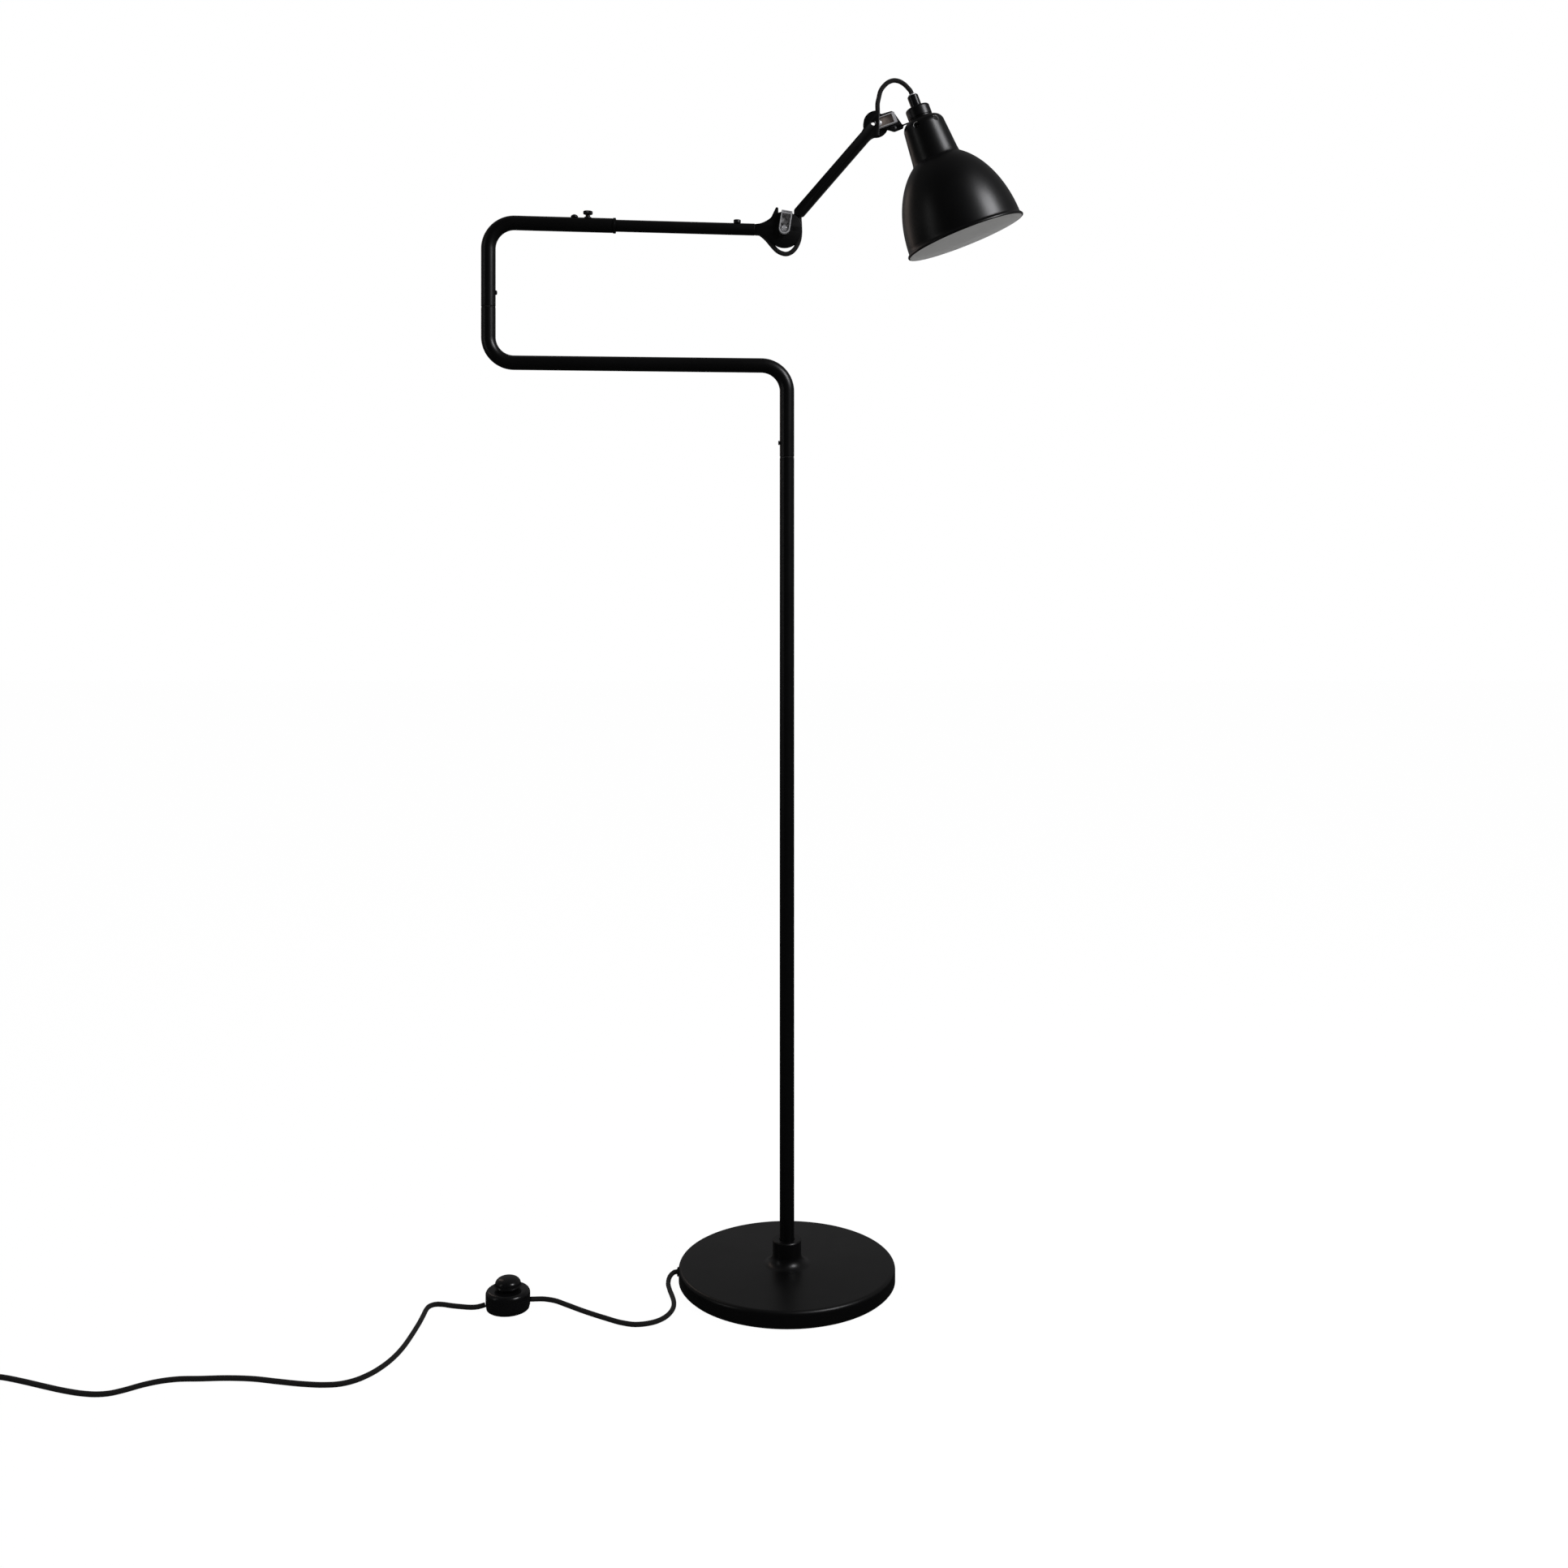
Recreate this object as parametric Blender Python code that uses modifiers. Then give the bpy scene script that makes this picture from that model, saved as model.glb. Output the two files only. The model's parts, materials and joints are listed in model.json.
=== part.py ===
"""Adjustable arm floor lamp: round base, two bent swivelling arms, sliding tube, jointed forearm, shade.

Metres, +Z up, origin under the middle of the base. Arms and head lie in the XZ plane; -Y is the front.
Run with: blender --background --python part.py
"""
import math

import bmesh
import bpy
from mathutils import Matrix, Vector

GAP = 0.0003                    # left between faces that touch on the real lamp

# base and post
BASE_DIAMETER = 0.250
BASE_THICKNESS = 0.020
BASE_EDGE_RADIUS = 0.005
PAD_THICKNESS = 0.0015
PAD_INSET = 0.003
HUB_DIAMETER = 0.033
HUB_TOP = 0.048
HUB_FILLET = 0.012
POST_SEAT = 0.024               # height of the shoulder the post stands on
TUBE_DIAMETER = 0.0168          # post and both bent arms
TUBE_WALL = 0.0012
NIPPLE_RADIUS = 0.005
NIPPLE_BORE = 0.0036
NUT_ACROSS_FLATS = 0.015
NUT_THICKNESS = 0.006
WASHER_RADIUS = 0.0112
WASHER_THICKNESS = 0.0015
NUT_POCKET_TOP = 0.0142
SOCKET_DEPTH = 0.016            # length of the plugs that sit in tube ends

# swivels and bent arms
LOWER_SWIVEL_HEIGHT = 0.952
UPPER_SWIVEL_HEIGHT = 1.1258
ARM_REACH = 0.3454              # between the two swivel axes
LOWER_CORNER_HEIGHT = 1.0577    # centre line of the lower run above the post
LOWER_RUN_RISE = 0.0039         # gained by the lower run over its reach
UPPER_CORNER_HEIGHT = 1.2238
UPPER_RUN_LENGTH = 0.1441       # from the upper corner to the open end
RUN_DROOP = math.radians(1.6)   # fall of the telescopic run
BEND_RADIUS = 0.030
BEND_STEPS = 6
SWIVEL_WASHER = 0.0008
SPIGOT_LENGTH = 0.032           # each way from the joint line
SPIGOT_BORE = 0.0036
GROOVE_DEPTH = 0.0010
GROOVE_WIDTH = 0.0056
STOP_SCREW_RISE = 0.0165        # above the joint line
STOP_SCREW_RADIUS = 0.0020
STOP_HEAD_RADIUS = 0.0026
STOP_HEAD_HEIGHT = 0.0014

# telescopic tube and its clamp
SLIDE_DIAMETER = 0.0138
SLIDE_WALL = 0.0016
SLIDE_START = 0.0674            # distances along the run from the upper corner
GUIDE_SCREW_AT = 0.0994
THUMBSCREW_AT = 0.1149
FIXING_SCREW_AT = 0.2877
SLIDE_END = 0.3082
KEY_START = 0.0724
KEY_END = 0.1380
KEY_WIDTH = 0.0046
KEY_DEPTH = 0.0006
GUIDE_HEAD_RADIUS = 0.00425
GUIDE_HEAD_HEIGHT = 0.0030
THUMB_HEAD_RADIUS = 0.0055
THUMB_HEAD_HEIGHT = 0.0038
THUMB_NECK_RADIUS = 0.0027
THUMB_HEAD_LIFT = 0.0038        # clear gap under the thumbscrew's head
FIXING_HEAD_RADIUS = 0.0042
FIXING_HEAD_HEIGHT = 0.0036
SCREW_RADIUS = 0.0018
MOUTH_RING_LENGTH = 0.0030
MOUTH_RING_WALL = 0.0006

# elbow
ELBOW_AT = 0.3426               # along the run
ELBOW_LIFT = 0.0006             # pivot above the run's centre line
CHEEK_RADIUS = 0.0203
CHEEK_THICKNESS = 0.0024
SLOT_WIDTH = 0.0062             # between the cheeks
BOLT_RADIUS = 0.0020
BOLT_HEAD_RADIUS = 0.0039
BOLT_HEAD_HEIGHT = 0.0024
BOLT_NUT_FLATS = 0.0080
BOLT_NUT_THICKNESS = 0.0032
TONGUE_RADIUS = 0.0142
LEVER_LENGTH = 0.0204           # from pivot to end
LEVER_WIDTH = 0.0127
LEVER_WALL = 0.0014
LEVER_FLOOR = 0.0016
LEVER_LIP = 0.0038
ELBOW_LEVER_DEPTH = 0.0070
ELBOW_LEVER_ANGLE = math.radians(81)

# forearm
FOREARM_LENGTH = 0.1616
FOREARM_ANGLE = math.radians(49.1)
FOREARM_WIDTH = 0.0128
FOREARM_DEPTH = 0.0112
CHANNEL_DEPTH = 0.0060
CHANNEL_WALL = 0.0010
SHOULDER_START = 0.0210         # nearest the elbow pivot
EYE_RADIUS = 0.01465
EYE_SLOT = 0.0082
EYE_HOLE_RADIUS = 0.0029
EYE_HOLE = (-0.0030, 0.00040)   # from the eye's centre
EYE_CUT = 0.0037                # front cheek ends here, right of the eye's centre

# head
HEAD_PIVOT = (0.0036, 0.0012)   # from the eye's centre
HEAD_TILT = math.radians(20.7)
HEAD_OFFSET = 0.0473            # pivot to shade axis
HEAD_DROP = 0.1591              # pivot to rim plane
HEAD_LEVER_DEPTH = 0.0050
HEAD_LEVER_ANGLE = math.radians(20)
HEAD_LEVER_NOSE = 0.0049        # how far the head lever's round end reaches past its pivot
HEAD_BOLT_RADIUS = 0.0016
HEAD_BOLT_HEAD = 0.0034
SHADE_RIM_RADIUS = 0.0703
SHADE_DOME_RADIUS = 0.0681
SHADE_DOME_HEIGHT = 0.1060
SHADE_DOME_TOP = 0.0960         # where the dome runs into the neck
SHADE_SHEET = 0.0011
NECK_BOTTOM_RADIUS = 0.0275
NECK_BOTTOM = 0.1030
NECK_TOP_RADIUS = 0.0245
NECK_SHOULDER = 0.1358
NECK_SHOULDER_RADIUS = 0.0110
SOCKET_STEM_RADIUS = 0.0050
SOCKET_CAP_RADIUS = 0.0143
SOCKET_CAP_HEIGHT = 0.0125
BRACKET_RING_THICKNESS = 0.0014
CABLE_CAP_RADIUS = 0.0066
CABLE_CAP_HEIGHT = 0.0152
HOLDER_RADIUS = 0.0125
HOLDER_BOTTOM = 0.0840
HOLDER_WALL = 0.0040
BULB_RADIUS = 0.0225
BULB_CENTRE = 0.0520
BULB_NECK_RADIUS = 0.0070
VENT_COUNT = 6
VENT_FIRST_ANGLE = 2.5          # degrees, anticlockwise from the shade's own +X
VENT_HEIGHT = 0.1380
VENT_RADIUS = 0.0037
BRACKET_SCREW = (0.01385, -0.0114)      # from the head pivot, in the tilted head frame
BRACKET_SCREW_RADIUS = 0.0040
BRACKET_SCREW_HEIGHT = 0.0019

# leads, foot switch, plug
LEAD_RADIUS = 0.0027
CORD_RADIUS = 0.0027
CORD_SPACING = 0.0160
CORD_EXIT_HEIGHT = 0.0098
BUSH_FLANGE_RADIUS = 0.0054
SWITCH_PLACE = (-0.3112, -0.0697)
SWITCH_TURN = math.radians(16)
SWITCH_RADIUS = 0.0246
SWITCH_HEIGHT = 0.0210
SWITCH_WALL = 0.0018
SWITCH_BASE_HEIGHT = 0.0030
SWITCH_SHOULDER = 0.0050
SWITCH_PORT_HEIGHT = 0.0062
BUTTON_RADIUS = 0.0152
BUTTON_STEM_RADIUS = 0.0105
BUTTON_TRAVEL = 0.0030
BUTTON_TOP = 0.0345
SPRING_RADIUS = 0.0052
SPRING_WIRE = 0.0005
SPRING_TURNS = 5
COIL_PLACE = (-0.848, -0.262)
COIL_RADIUS = 0.0300            # to the middle of the bundle
COIL_HALF_SECTION = 0.00545
COIL_LIFT = 0.0008
TIE_WALL = 0.0006
TIE_WIDTH = 0.0060
PLUG_LENGTH = 0.0360
PLUG_WIDTH = 0.0353
PLUG_THICKNESS = 0.0137
PLUG_BOOT_LENGTH = 0.0240
PIN_RADIUS = 0.0020
PIN_LENGTH = 0.0190
PIN_SPACING = 0.0186

CORD_TO_SWITCH = [
    (-0.1225, 0.0000, 0.0098), (-0.1294, 0.0000, 0.0098), (-0.1344, -0.0052, 0.0076),
    (-0.1362, -0.0150, 0.0045), (-0.1338, -0.0300, 0.0029), (-0.1300, -0.0455, 0.0028),
    (-0.1270, -0.0600, 0.0028), (-0.1262, -0.0730, 0.0028), (-0.1285, -0.0870, 0.0028),
    (-0.1340, -0.0995, 0.0028), (-0.1425, -0.1090, 0.0028), (-0.1545, -0.1150, 0.0028),
    (-0.1665, -0.1165, 0.0028), (-0.1785, -0.1130, 0.0028), (-0.2010, -0.1002, 0.0028),
    (-0.2243, -0.0850, 0.0028), (-0.2482, -0.0673, 0.0028), (-0.2600, -0.0592, 0.0029),
    (-0.2717, -0.0566, 0.0036), (-0.2870, -0.0627, 0.0062),
]
CORD_TO_COIL = [
    (-0.3354, -0.0766, 0.0062), (-0.3430, -0.0775, 0.0044), (-0.3500, -0.0757, 0.0030),
    (-0.3620, -0.0738, 0.0028), (-0.3740, -0.0712, 0.0028), (-0.3850, -0.0680, 0.0028),
    (-0.3928, -0.0680, 0.0028), (-0.3980, -0.0725, 0.0028), (-0.3998, -0.0805, 0.0028),
    (-0.4000, -0.0930, 0.0028), (-0.4004, -0.1090, 0.0028), (-0.4013, -0.1250, 0.0028),
    (-0.4027, -0.1430, 0.0028), (-0.4050, -0.1650, 0.0028), (-0.4090, -0.1860, 0.0028),
    (-0.4160, -0.2070, 0.0028), (-0.4275, -0.2275, 0.0028), (-0.4390, -0.2395, 0.0028),
    (-0.4520, -0.2462, 0.0028), (-0.4680, -0.2480, 0.0028), (-0.4872, -0.2464, 0.0028),
    (-0.5149, -0.2413, 0.0028), (-0.5430, -0.2356, 0.0028), (-0.5700, -0.2340, 0.0028),
    (-0.5960, -0.2353, 0.0028), (-0.6200, -0.2364, 0.0028), (-0.6337, -0.2399, 0.0028),
    (-0.6500, -0.2480, 0.0028), (-0.6640, -0.2580, 0.0028), (-0.6762, -0.2648, 0.0028),
    (-0.6884, -0.2668, 0.0028), (-0.7018, -0.2655, 0.0028), (-0.7250, -0.2592, 0.0028),
    (-0.7500, -0.2500, 0.0028), (-0.7760, -0.2400, 0.0028), (-0.8000, -0.2325, 0.0030),
    (-0.8275, -0.2295, 0.0034),
]
ELBOW_LEAD = [                  # from the elbow pivot, x and z
    (-0.0330, -0.0031), (-0.0290, -0.0040), (-0.0250, -0.0066), (-0.0207, -0.0104), (-0.0163, -0.0156),
    (-0.0124, -0.0202), (-0.0080, -0.0244), (-0.0030, -0.0270), (0.0015, -0.0279), (0.0066, -0.0266),
    (0.0111, -0.0230), (0.0150, -0.0168), (0.0172, -0.0102), (0.0179, -0.0040), (0.0178, 0.0040),
    (0.0175, 0.0100), (0.0173, 0.0133), (0.0175, 0.0165), (0.0190, 0.0194), (0.0218, 0.0227),
]
HEAD_LEAD = [                   # from the eye's centre, x and z
    (0.0022, 0.0088), (0.0020, 0.0160), (0.0020, 0.0245), (0.0034, 0.0309), (0.0055, 0.0388),
    (0.0103, 0.0454), (0.0147, 0.0489), (0.0205, 0.0507), (0.0270, 0.0497), (0.0329, 0.0462),
    (0.0373, 0.0418), (0.0400, 0.0386), (0.0416, 0.0345), (0.0444, 0.0272),
]


# ---------------------------------------------------------------- scene and finishes

def clear_scene():
    for item in list(bpy.data.objects):
        bpy.data.objects.remove(item, do_unlink=True)


def make_collection(name):
    group = bpy.data.collections.new(name)
    bpy.context.scene.collection.children.link(group)
    return group


def make_finish(name, colour, metallic, roughness):
    material = bpy.data.materials.new(name)
    material.use_nodes = True
    shader = material.node_tree.nodes["Principled BSDF"]
    shader.inputs["Base Color"].default_value = (*colour, 1.0)
    shader.inputs["Metallic"].default_value = metallic
    shader.inputs["Roughness"].default_value = roughness
    return material


clear_scene()
LAMP = make_collection("floor_lamp")
CUTTERS = make_collection("cutters")
BLACK_PAINT = make_finish("black_paint", (0.012, 0.012, 0.013), 0.0, 0.38)
BLACK_STEEL = make_finish("black_steel", (0.03, 0.03, 0.032), 0.9, 0.35)
CHROME = make_finish("chrome", (0.80, 0.80, 0.80), 1.0, 0.12)
ZINC = make_finish("zinc", (0.62, 0.63, 0.65), 1.0, 0.35)
BRASS = make_finish("brass", (0.72, 0.55, 0.28), 1.0, 0.30)
NYLON = make_finish("nylon", (0.75, 0.73, 0.66), 0.0, 0.50)
BLACK_RUBBER = make_finish("black_rubber", (0.02, 0.02, 0.02), 0.0, 0.75)
BLACK_PLASTIC = make_finish("black_plastic", (0.02, 0.02, 0.022), 0.0, 0.30)
TEXTILE = make_finish("textile", (0.02, 0.019, 0.018), 0.0, 0.85)
OPAL_GLASS = make_finish("opal_glass", (0.90, 0.89, 0.85), 0.0, 0.25)


# ---------------------------------------------------------------- modelling helpers

def add(name, data, finish, parent, place=(0, 0, 0), turn=(0, 0, 0)):
    """Put a mesh or curve in the lamp's collection under its parent; without a finish it is a cutter."""
    item = bpy.data.objects.new(name, data)
    item.parent = parent
    item.location = place
    item.rotation_euler = turn
    if finish is None:
        CUTTERS.objects.link(item)
        item.hide_render = True
        item.display_type = "WIRE"
    else:
        LAMP.objects.link(item)
        data.materials.append(finish)
    return item


def frame(name, parent, place, turn=0.0):
    """An empty that carries a joint axis or a tilted group; turn is about Y."""
    empty = bpy.data.objects.new(name, None)
    empty.parent = parent
    empty.location = place
    empty.rotation_euler = (0, turn, 0)
    LAMP.objects.link(empty)
    return empty


def arc(centre, radius, start, end, steps):
    """Points on an arc, angles in degrees, both ends included."""
    angles = [math.radians(start + (end - start) * i / steps) for i in range(steps + 1)]
    return [(centre[0] + radius * math.cos(a), centre[1] + radius * math.sin(a)) for a in angles]


def turned(name, profile, finish, parent, place=(0, 0, 0), turn=(0, 0, 0), steps=32):
    """A turned solid about local Z. The profile runs down the outside and, if hollow, back up the bore."""
    hollow = min(radius for radius, _ in profile) > 1e-6
    count = len(profile)
    edges = [(i, i + 1) for i in range(count - 1)]
    if hollow:
        edges.append((count - 1, 0))
    mesh = bpy.data.meshes.new(name)
    mesh.from_pydata([(radius, 0.0, height) for radius, height in profile], edges, [])
    item = add(name, mesh, finish, parent, place, turn)
    screw = item.modifiers.new("turned", "SCREW")
    screw.axis = "Z"
    screw.steps = steps
    screw.render_steps = steps
    screw.use_merge_vertices = True
    screw.merge_threshold = 0.00001
    return item


def ring_profile(outer, inner, bottom, top):
    return [(outer, top), (outer, bottom), (inner, bottom), (inner, top)]


def plate(name, outlines, thickness, finish, parent, place=(0, 0, 0), turn=(math.pi / 2, 0, 0)):
    """A flat piece from an outline and its holes. Unturned it lies flat; as given it stands in XZ."""
    curve = bpy.data.curves.new(name, "CURVE")
    curve.dimensions = "2D"
    curve.fill_mode = "BOTH"
    curve.extrude = thickness / 2
    for outline in outlines:
        spline = curve.splines.new("POLY")
        spline.points.add(len(outline) - 1)
        for point, (x, y) in zip(spline.points, outline):
            point.co = (x, y, 0.0, 1.0)
        spline.use_cyclic_u = True
    return add(name, curve, finish, parent, place, turn)


def rod(name, points, radius, finish, parent, resolution=3, caps=True, place=(0, 0, 0)):
    """A round bar or lead along a row of points."""
    curve = bpy.data.curves.new(name, "CURVE")
    curve.dimensions = "3D"
    curve.bevel_depth = radius
    curve.bevel_resolution = resolution
    curve.use_fill_caps = caps
    spline = curve.splines.new("POLY")
    spline.points.add(len(points) - 1)
    for point, co in zip(spline.points, points):
        point.co = (*co, 1.0)
    return add(name, curve, finish, parent, place)


def as_mesh(item):
    """Turn a curve object into a mesh object of the same name, place and finish."""
    bpy.context.view_layer.update()
    evaluated = item.evaluated_get(bpy.context.evaluated_depsgraph_get())
    mesh = bpy.data.meshes.new_from_object(evaluated)
    shape = bmesh.new()
    shape.from_mesh(mesh)
    bmesh.ops.remove_doubles(shape, verts=shape.verts, dist=0.000001)
    shape.to_mesh(mesh)
    shape.free()
    name = item.name
    finish = item.data.materials[0] if item.data.materials else None
    parent = item.parent
    world = item.matrix_world.copy()
    bpy.data.objects.remove(item, do_unlink=True)
    mesh.materials.clear()
    solid = add(name, mesh, finish, parent)
    bpy.context.view_layer.update()
    solid.matrix_world = world
    return solid


def drill(name, radius, low, high, parent, place=(0, 0, 0), turn=(0, 0, 0), steps=24):
    """A round cutter from low to high along local Z."""
    profile = [(0, high), (radius, high), (radius, low), (0, low)]
    return turned(name, profile, None, parent, place, turn, steps)


def block(name, size, parent, place=(0, 0, 0), turn=(0, 0, 0)):
    """A box cutter centred on its place."""
    shape = bmesh.new()
    bmesh.ops.create_cube(shape, size=1.0, matrix=Matrix.Diagonal((*size, 1.0)))
    mesh = bpy.data.meshes.new(name)
    shape.to_mesh(mesh)
    shape.free()
    return add(name, mesh, None, parent, place, turn)


def join(solid, other, operation="DIFFERENCE"):
    step = solid.modifiers.new(other.name, "BOOLEAN")
    step.operation = operation
    step.solver = "EXACT"
    step.object = other


def hexagon(flats):
    radius = flats / math.sqrt(3)
    return arc((0, 0), radius, 0, 300, 5)


def rounded_path(corners, radius, steps):
    """Corner points joined by straights, each inner corner turned into an arc."""
    points = [Vector(corners[0])]
    for before, corner, after in zip(corners, corners[1:], corners[2:]):
        corner = Vector(corner)
        back = (Vector(before) - corner).normalized()
        ahead = (Vector(after) - corner).normalized()
        half = back.angle(ahead) / 2
        reach = radius / math.tan(half)
        centre = corner + (back + ahead).normalized() * radius / math.sin(half)
        first = corner + back * reach - centre
        last = corner + ahead * reach - centre
        sweep = first.angle(last)
        for i in range(steps + 1):
            share = i / steps
            mix = first * math.sin((1 - share) * sweep) + last * math.sin(share * sweep)
            points.append(centre + mix / math.sin(sweep))
    points.append(Vector(corners[-1]))
    return points


def smooth_path(route, spacing):
    """Evenly spaced points on one smooth curve through the route's points."""
    knots = [Vector(point) for point in route]
    gaps = [(b - a).length for a, b in zip(knots, knots[1:])]
    slopes = [(knots[1] - knots[0]) / gaps[0]]
    for i in range(1, len(knots) - 1):
        before = (knots[i] - knots[i - 1]) / gaps[i - 1]
        after = (knots[i + 1] - knots[i]) / gaps[i]
        slopes.append((before * gaps[i] + after * gaps[i - 1]) / (gaps[i] + gaps[i - 1]))
    slopes.append((knots[-1] - knots[-2]) / gaps[-1])
    dense = [knots[0]]
    for i, gap in enumerate(gaps):
        for j in range(1, 9):
            t = j / 8
            dense.append(knots[i] * (2 * t**3 - 3 * t**2 + 1) + slopes[i] * gap * (t**3 - 2 * t**2 + t)
                         + knots[i + 1] * (3 * t**2 - 2 * t**3) + slopes[i + 1] * gap * (t**3 - t**2))
    lengths = [0.0]
    for a, b in zip(dense, dense[1:]):
        lengths.append(lengths[-1] + (b - a).length)
    count = max(2, round(lengths[-1] / spacing))
    points = []
    index = 0
    for k in range(count + 1):
        target = lengths[-1] * k / count
        while index < len(lengths) - 2 and lengths[index + 1] < target:
            index += 1
        share = (target - lengths[index]) / (lengths[index + 1] - lengths[index])
        points.append(dense[index].lerp(dense[index + 1], share))
    return points


def in_xz(points):
    return [(x, 0.0, z) for x, z in points]


# ---------------------------------------------------------------- base and post

def build_base():
    plate_radius = BASE_DIAMETER / 2
    tube_bore = TUBE_DIAMETER / 2 + GAP
    nipple_hole = NIPPLE_RADIUS + GAP
    bottom = PAD_THICKNESS + GAP
    hub = HUB_DIAMETER / 2
    profile = [(tube_bore, HUB_TOP), (hub - 0.001, HUB_TOP), (hub, HUB_TOP - 0.001)]
    profile += arc((hub + HUB_FILLET, BASE_THICKNESS + HUB_FILLET), HUB_FILLET, 180, 270, 4)
    profile += arc((plate_radius - BASE_EDGE_RADIUS, BASE_THICKNESS - BASE_EDGE_RADIUS),
                   BASE_EDGE_RADIUS, 90, 0, 4)
    profile += [(plate_radius, bottom + 0.001), (plate_radius - 0.001, bottom)]
    pocket = WASHER_RADIUS + 0.0012
    profile += [(pocket, bottom), (pocket, NUT_POCKET_TOP), (nipple_hole, NUT_POCKET_TOP)]
    profile += [(nipple_hole, POST_SEAT), (tube_bore, POST_SEAT)]
    base = turned("base_plate", profile, BLACK_PAINT, None, steps=48)
    cord_way = drill("cord_way", CORD_RADIUS + 0.0016, 0.0, plate_radius + 0.01, None,
                     (0, 0, CORD_EXIT_HEIGHT), (0, -math.pi / 2, 0), steps=16)
    join(base, cord_way)
    turned("floor_pad", [(0, PAD_THICKNESS), (plate_radius - PAD_INSET, PAD_THICKNESS),
                         (plate_radius - PAD_INSET, 0), (0, 0)], BLACK_RUBBER, None, steps=36)


def build_base_fixings():
    top = NUT_POCKET_TOP - GAP
    washer_bottom = top - WASHER_THICKNESS
    turned("base_washer", ring_profile(WASHER_RADIUS, NIPPLE_RADIUS + GAP, washer_bottom, top),
           ZINC, None, steps=24)
    nut_centre = washer_bottom - GAP - NUT_THICKNESS / 2
    bore = arc((0, 0), NIPPLE_RADIUS + GAP, 0, 345, 23)
    plate("base_nut", [hexagon(NUT_ACROSS_FLATS), bore], NUT_THICKNESS, ZINC, None,
          (0, 0, nut_centre), (0, 0, 0))
    nipple_bottom = nut_centre - NUT_THICKNESS / 2 - 0.001
    nipple_top = POST_SEAT + SOCKET_DEPTH
    turned("base_nipple", ring_profile(NIPPLE_RADIUS, NIPPLE_BORE, nipple_bottom, nipple_top),
           ZINC, None, steps=24)
    plug = TUBE_DIAMETER / 2 - TUBE_WALL - GAP
    turned("post_foot_plug", ring_profile(plug, NIPPLE_RADIUS + GAP, POST_SEAT + GAP, nipple_top + 0.002),
           ZINC, None, steps=24)


def build_post():
    outer = TUBE_DIAMETER / 2
    top = LOWER_SWIVEL_HEIGHT - SWIVEL_WASHER / 2 - GAP
    turned("post", ring_profile(outer, outer - TUBE_WALL, POST_SEAT + GAP, top), BLACK_PAINT, None)


def build_swivel(prefix, parent):
    """Spigot, washer and stop screw about the parent's Z axis, at the joint line."""
    plug = TUBE_DIAMETER / 2 - TUBE_WALL - GAP
    neck = plug - GROOVE_DEPTH
    groove_low = STOP_SCREW_RISE - GROOVE_WIDTH / 2
    groove_high = STOP_SCREW_RISE + GROOVE_WIDTH / 2
    profile = [(plug - 0.001, SPIGOT_LENGTH), (plug, SPIGOT_LENGTH - 0.001), (plug, groove_high),
               (neck, groove_high), (neck, groove_low), (plug, groove_low), (plug, -SPIGOT_LENGTH),
               (SPIGOT_BORE, -SPIGOT_LENGTH), (SPIGOT_BORE, SPIGOT_LENGTH)]
    turned(prefix + "_spigot", profile, ZINC, parent, steps=16)
    turned(prefix + "_washer", ring_profile(TUBE_DIAMETER / 2 - 0.0002, plug + GAP,
                                            -SWIVEL_WASHER / 2, SWIVEL_WASHER / 2), NYLON, parent, steps=20)


def stop_screw(name, side, parent):
    """Small screw through the arm wall into the spigot's groove; side is -1 for left, 1 for right."""
    tip = TUBE_DIAMETER / 2 - TUBE_WALL - GROOVE_DEPTH
    seat = TUBE_DIAMETER / 2 + GAP
    head = seat + STOP_HEAD_HEIGHT
    profile = [(0, head), (STOP_HEAD_RADIUS - 0.0006, head), (STOP_HEAD_RADIUS, head - 0.0006),
               (STOP_HEAD_RADIUS, seat), (STOP_SCREW_RADIUS, seat), (STOP_SCREW_RADIUS, tip), (0, tip)]
    turned(name, profile, BLACK_STEEL, parent, (0, 0, STOP_SCREW_RISE), (0, side * math.pi / 2, 0), steps=16)
    return drill(name + "_hole", STOP_SCREW_RADIUS + GAP, 0.004, seat + 0.003, parent,
                 (0, 0, STOP_SCREW_RISE), (0, side * math.pi / 2, 0), steps=16)


# ---------------------------------------------------------------- arms

def bent_tube(name, corners, parent):
    path = rounded_path(corners, BEND_RADIUS, BEND_STEPS)
    tube = as_mesh(rod(name, path, TUBE_DIAMETER / 2, BLACK_PAINT, parent, resolution=6, caps=False))
    wall = tube.modifiers.new("wall", "SOLIDIFY")
    wall.thickness = TUBE_WALL
    wall.offset = -1.0
    return tube


def build_lower_arm(axis):
    start = SWIVEL_WASHER / 2 + GAP
    run = LOWER_CORNER_HEIGHT - LOWER_SWIVEL_HEIGHT
    end = UPPER_SWIVEL_HEIGHT - LOWER_SWIVEL_HEIGHT - start
    corners = [(0, 0, start), (0, 0, run), (-ARM_REACH, 0, run + LOWER_RUN_RISE), (-ARM_REACH, 0, end)]
    tube = bent_tube("lower_arm_tube", corners, axis)
    join(tube, stop_screw("lower_stop_screw", -1, axis))


def build_upper_arm(axis):
    start = SWIVEL_WASHER / 2 + GAP
    rise = UPPER_CORNER_HEIGHT - UPPER_SWIVEL_HEIGHT
    end = (UPPER_RUN_LENGTH * math.cos(RUN_DROOP), 0, rise - UPPER_RUN_LENGTH * math.sin(RUN_DROOP))
    tube = bent_tube("upper_arm_tube", [(0, 0, start), (0, 0, rise), end], axis)
    join(tube, stop_screw("upper_stop_screw", 1, axis))
    return tube


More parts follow.
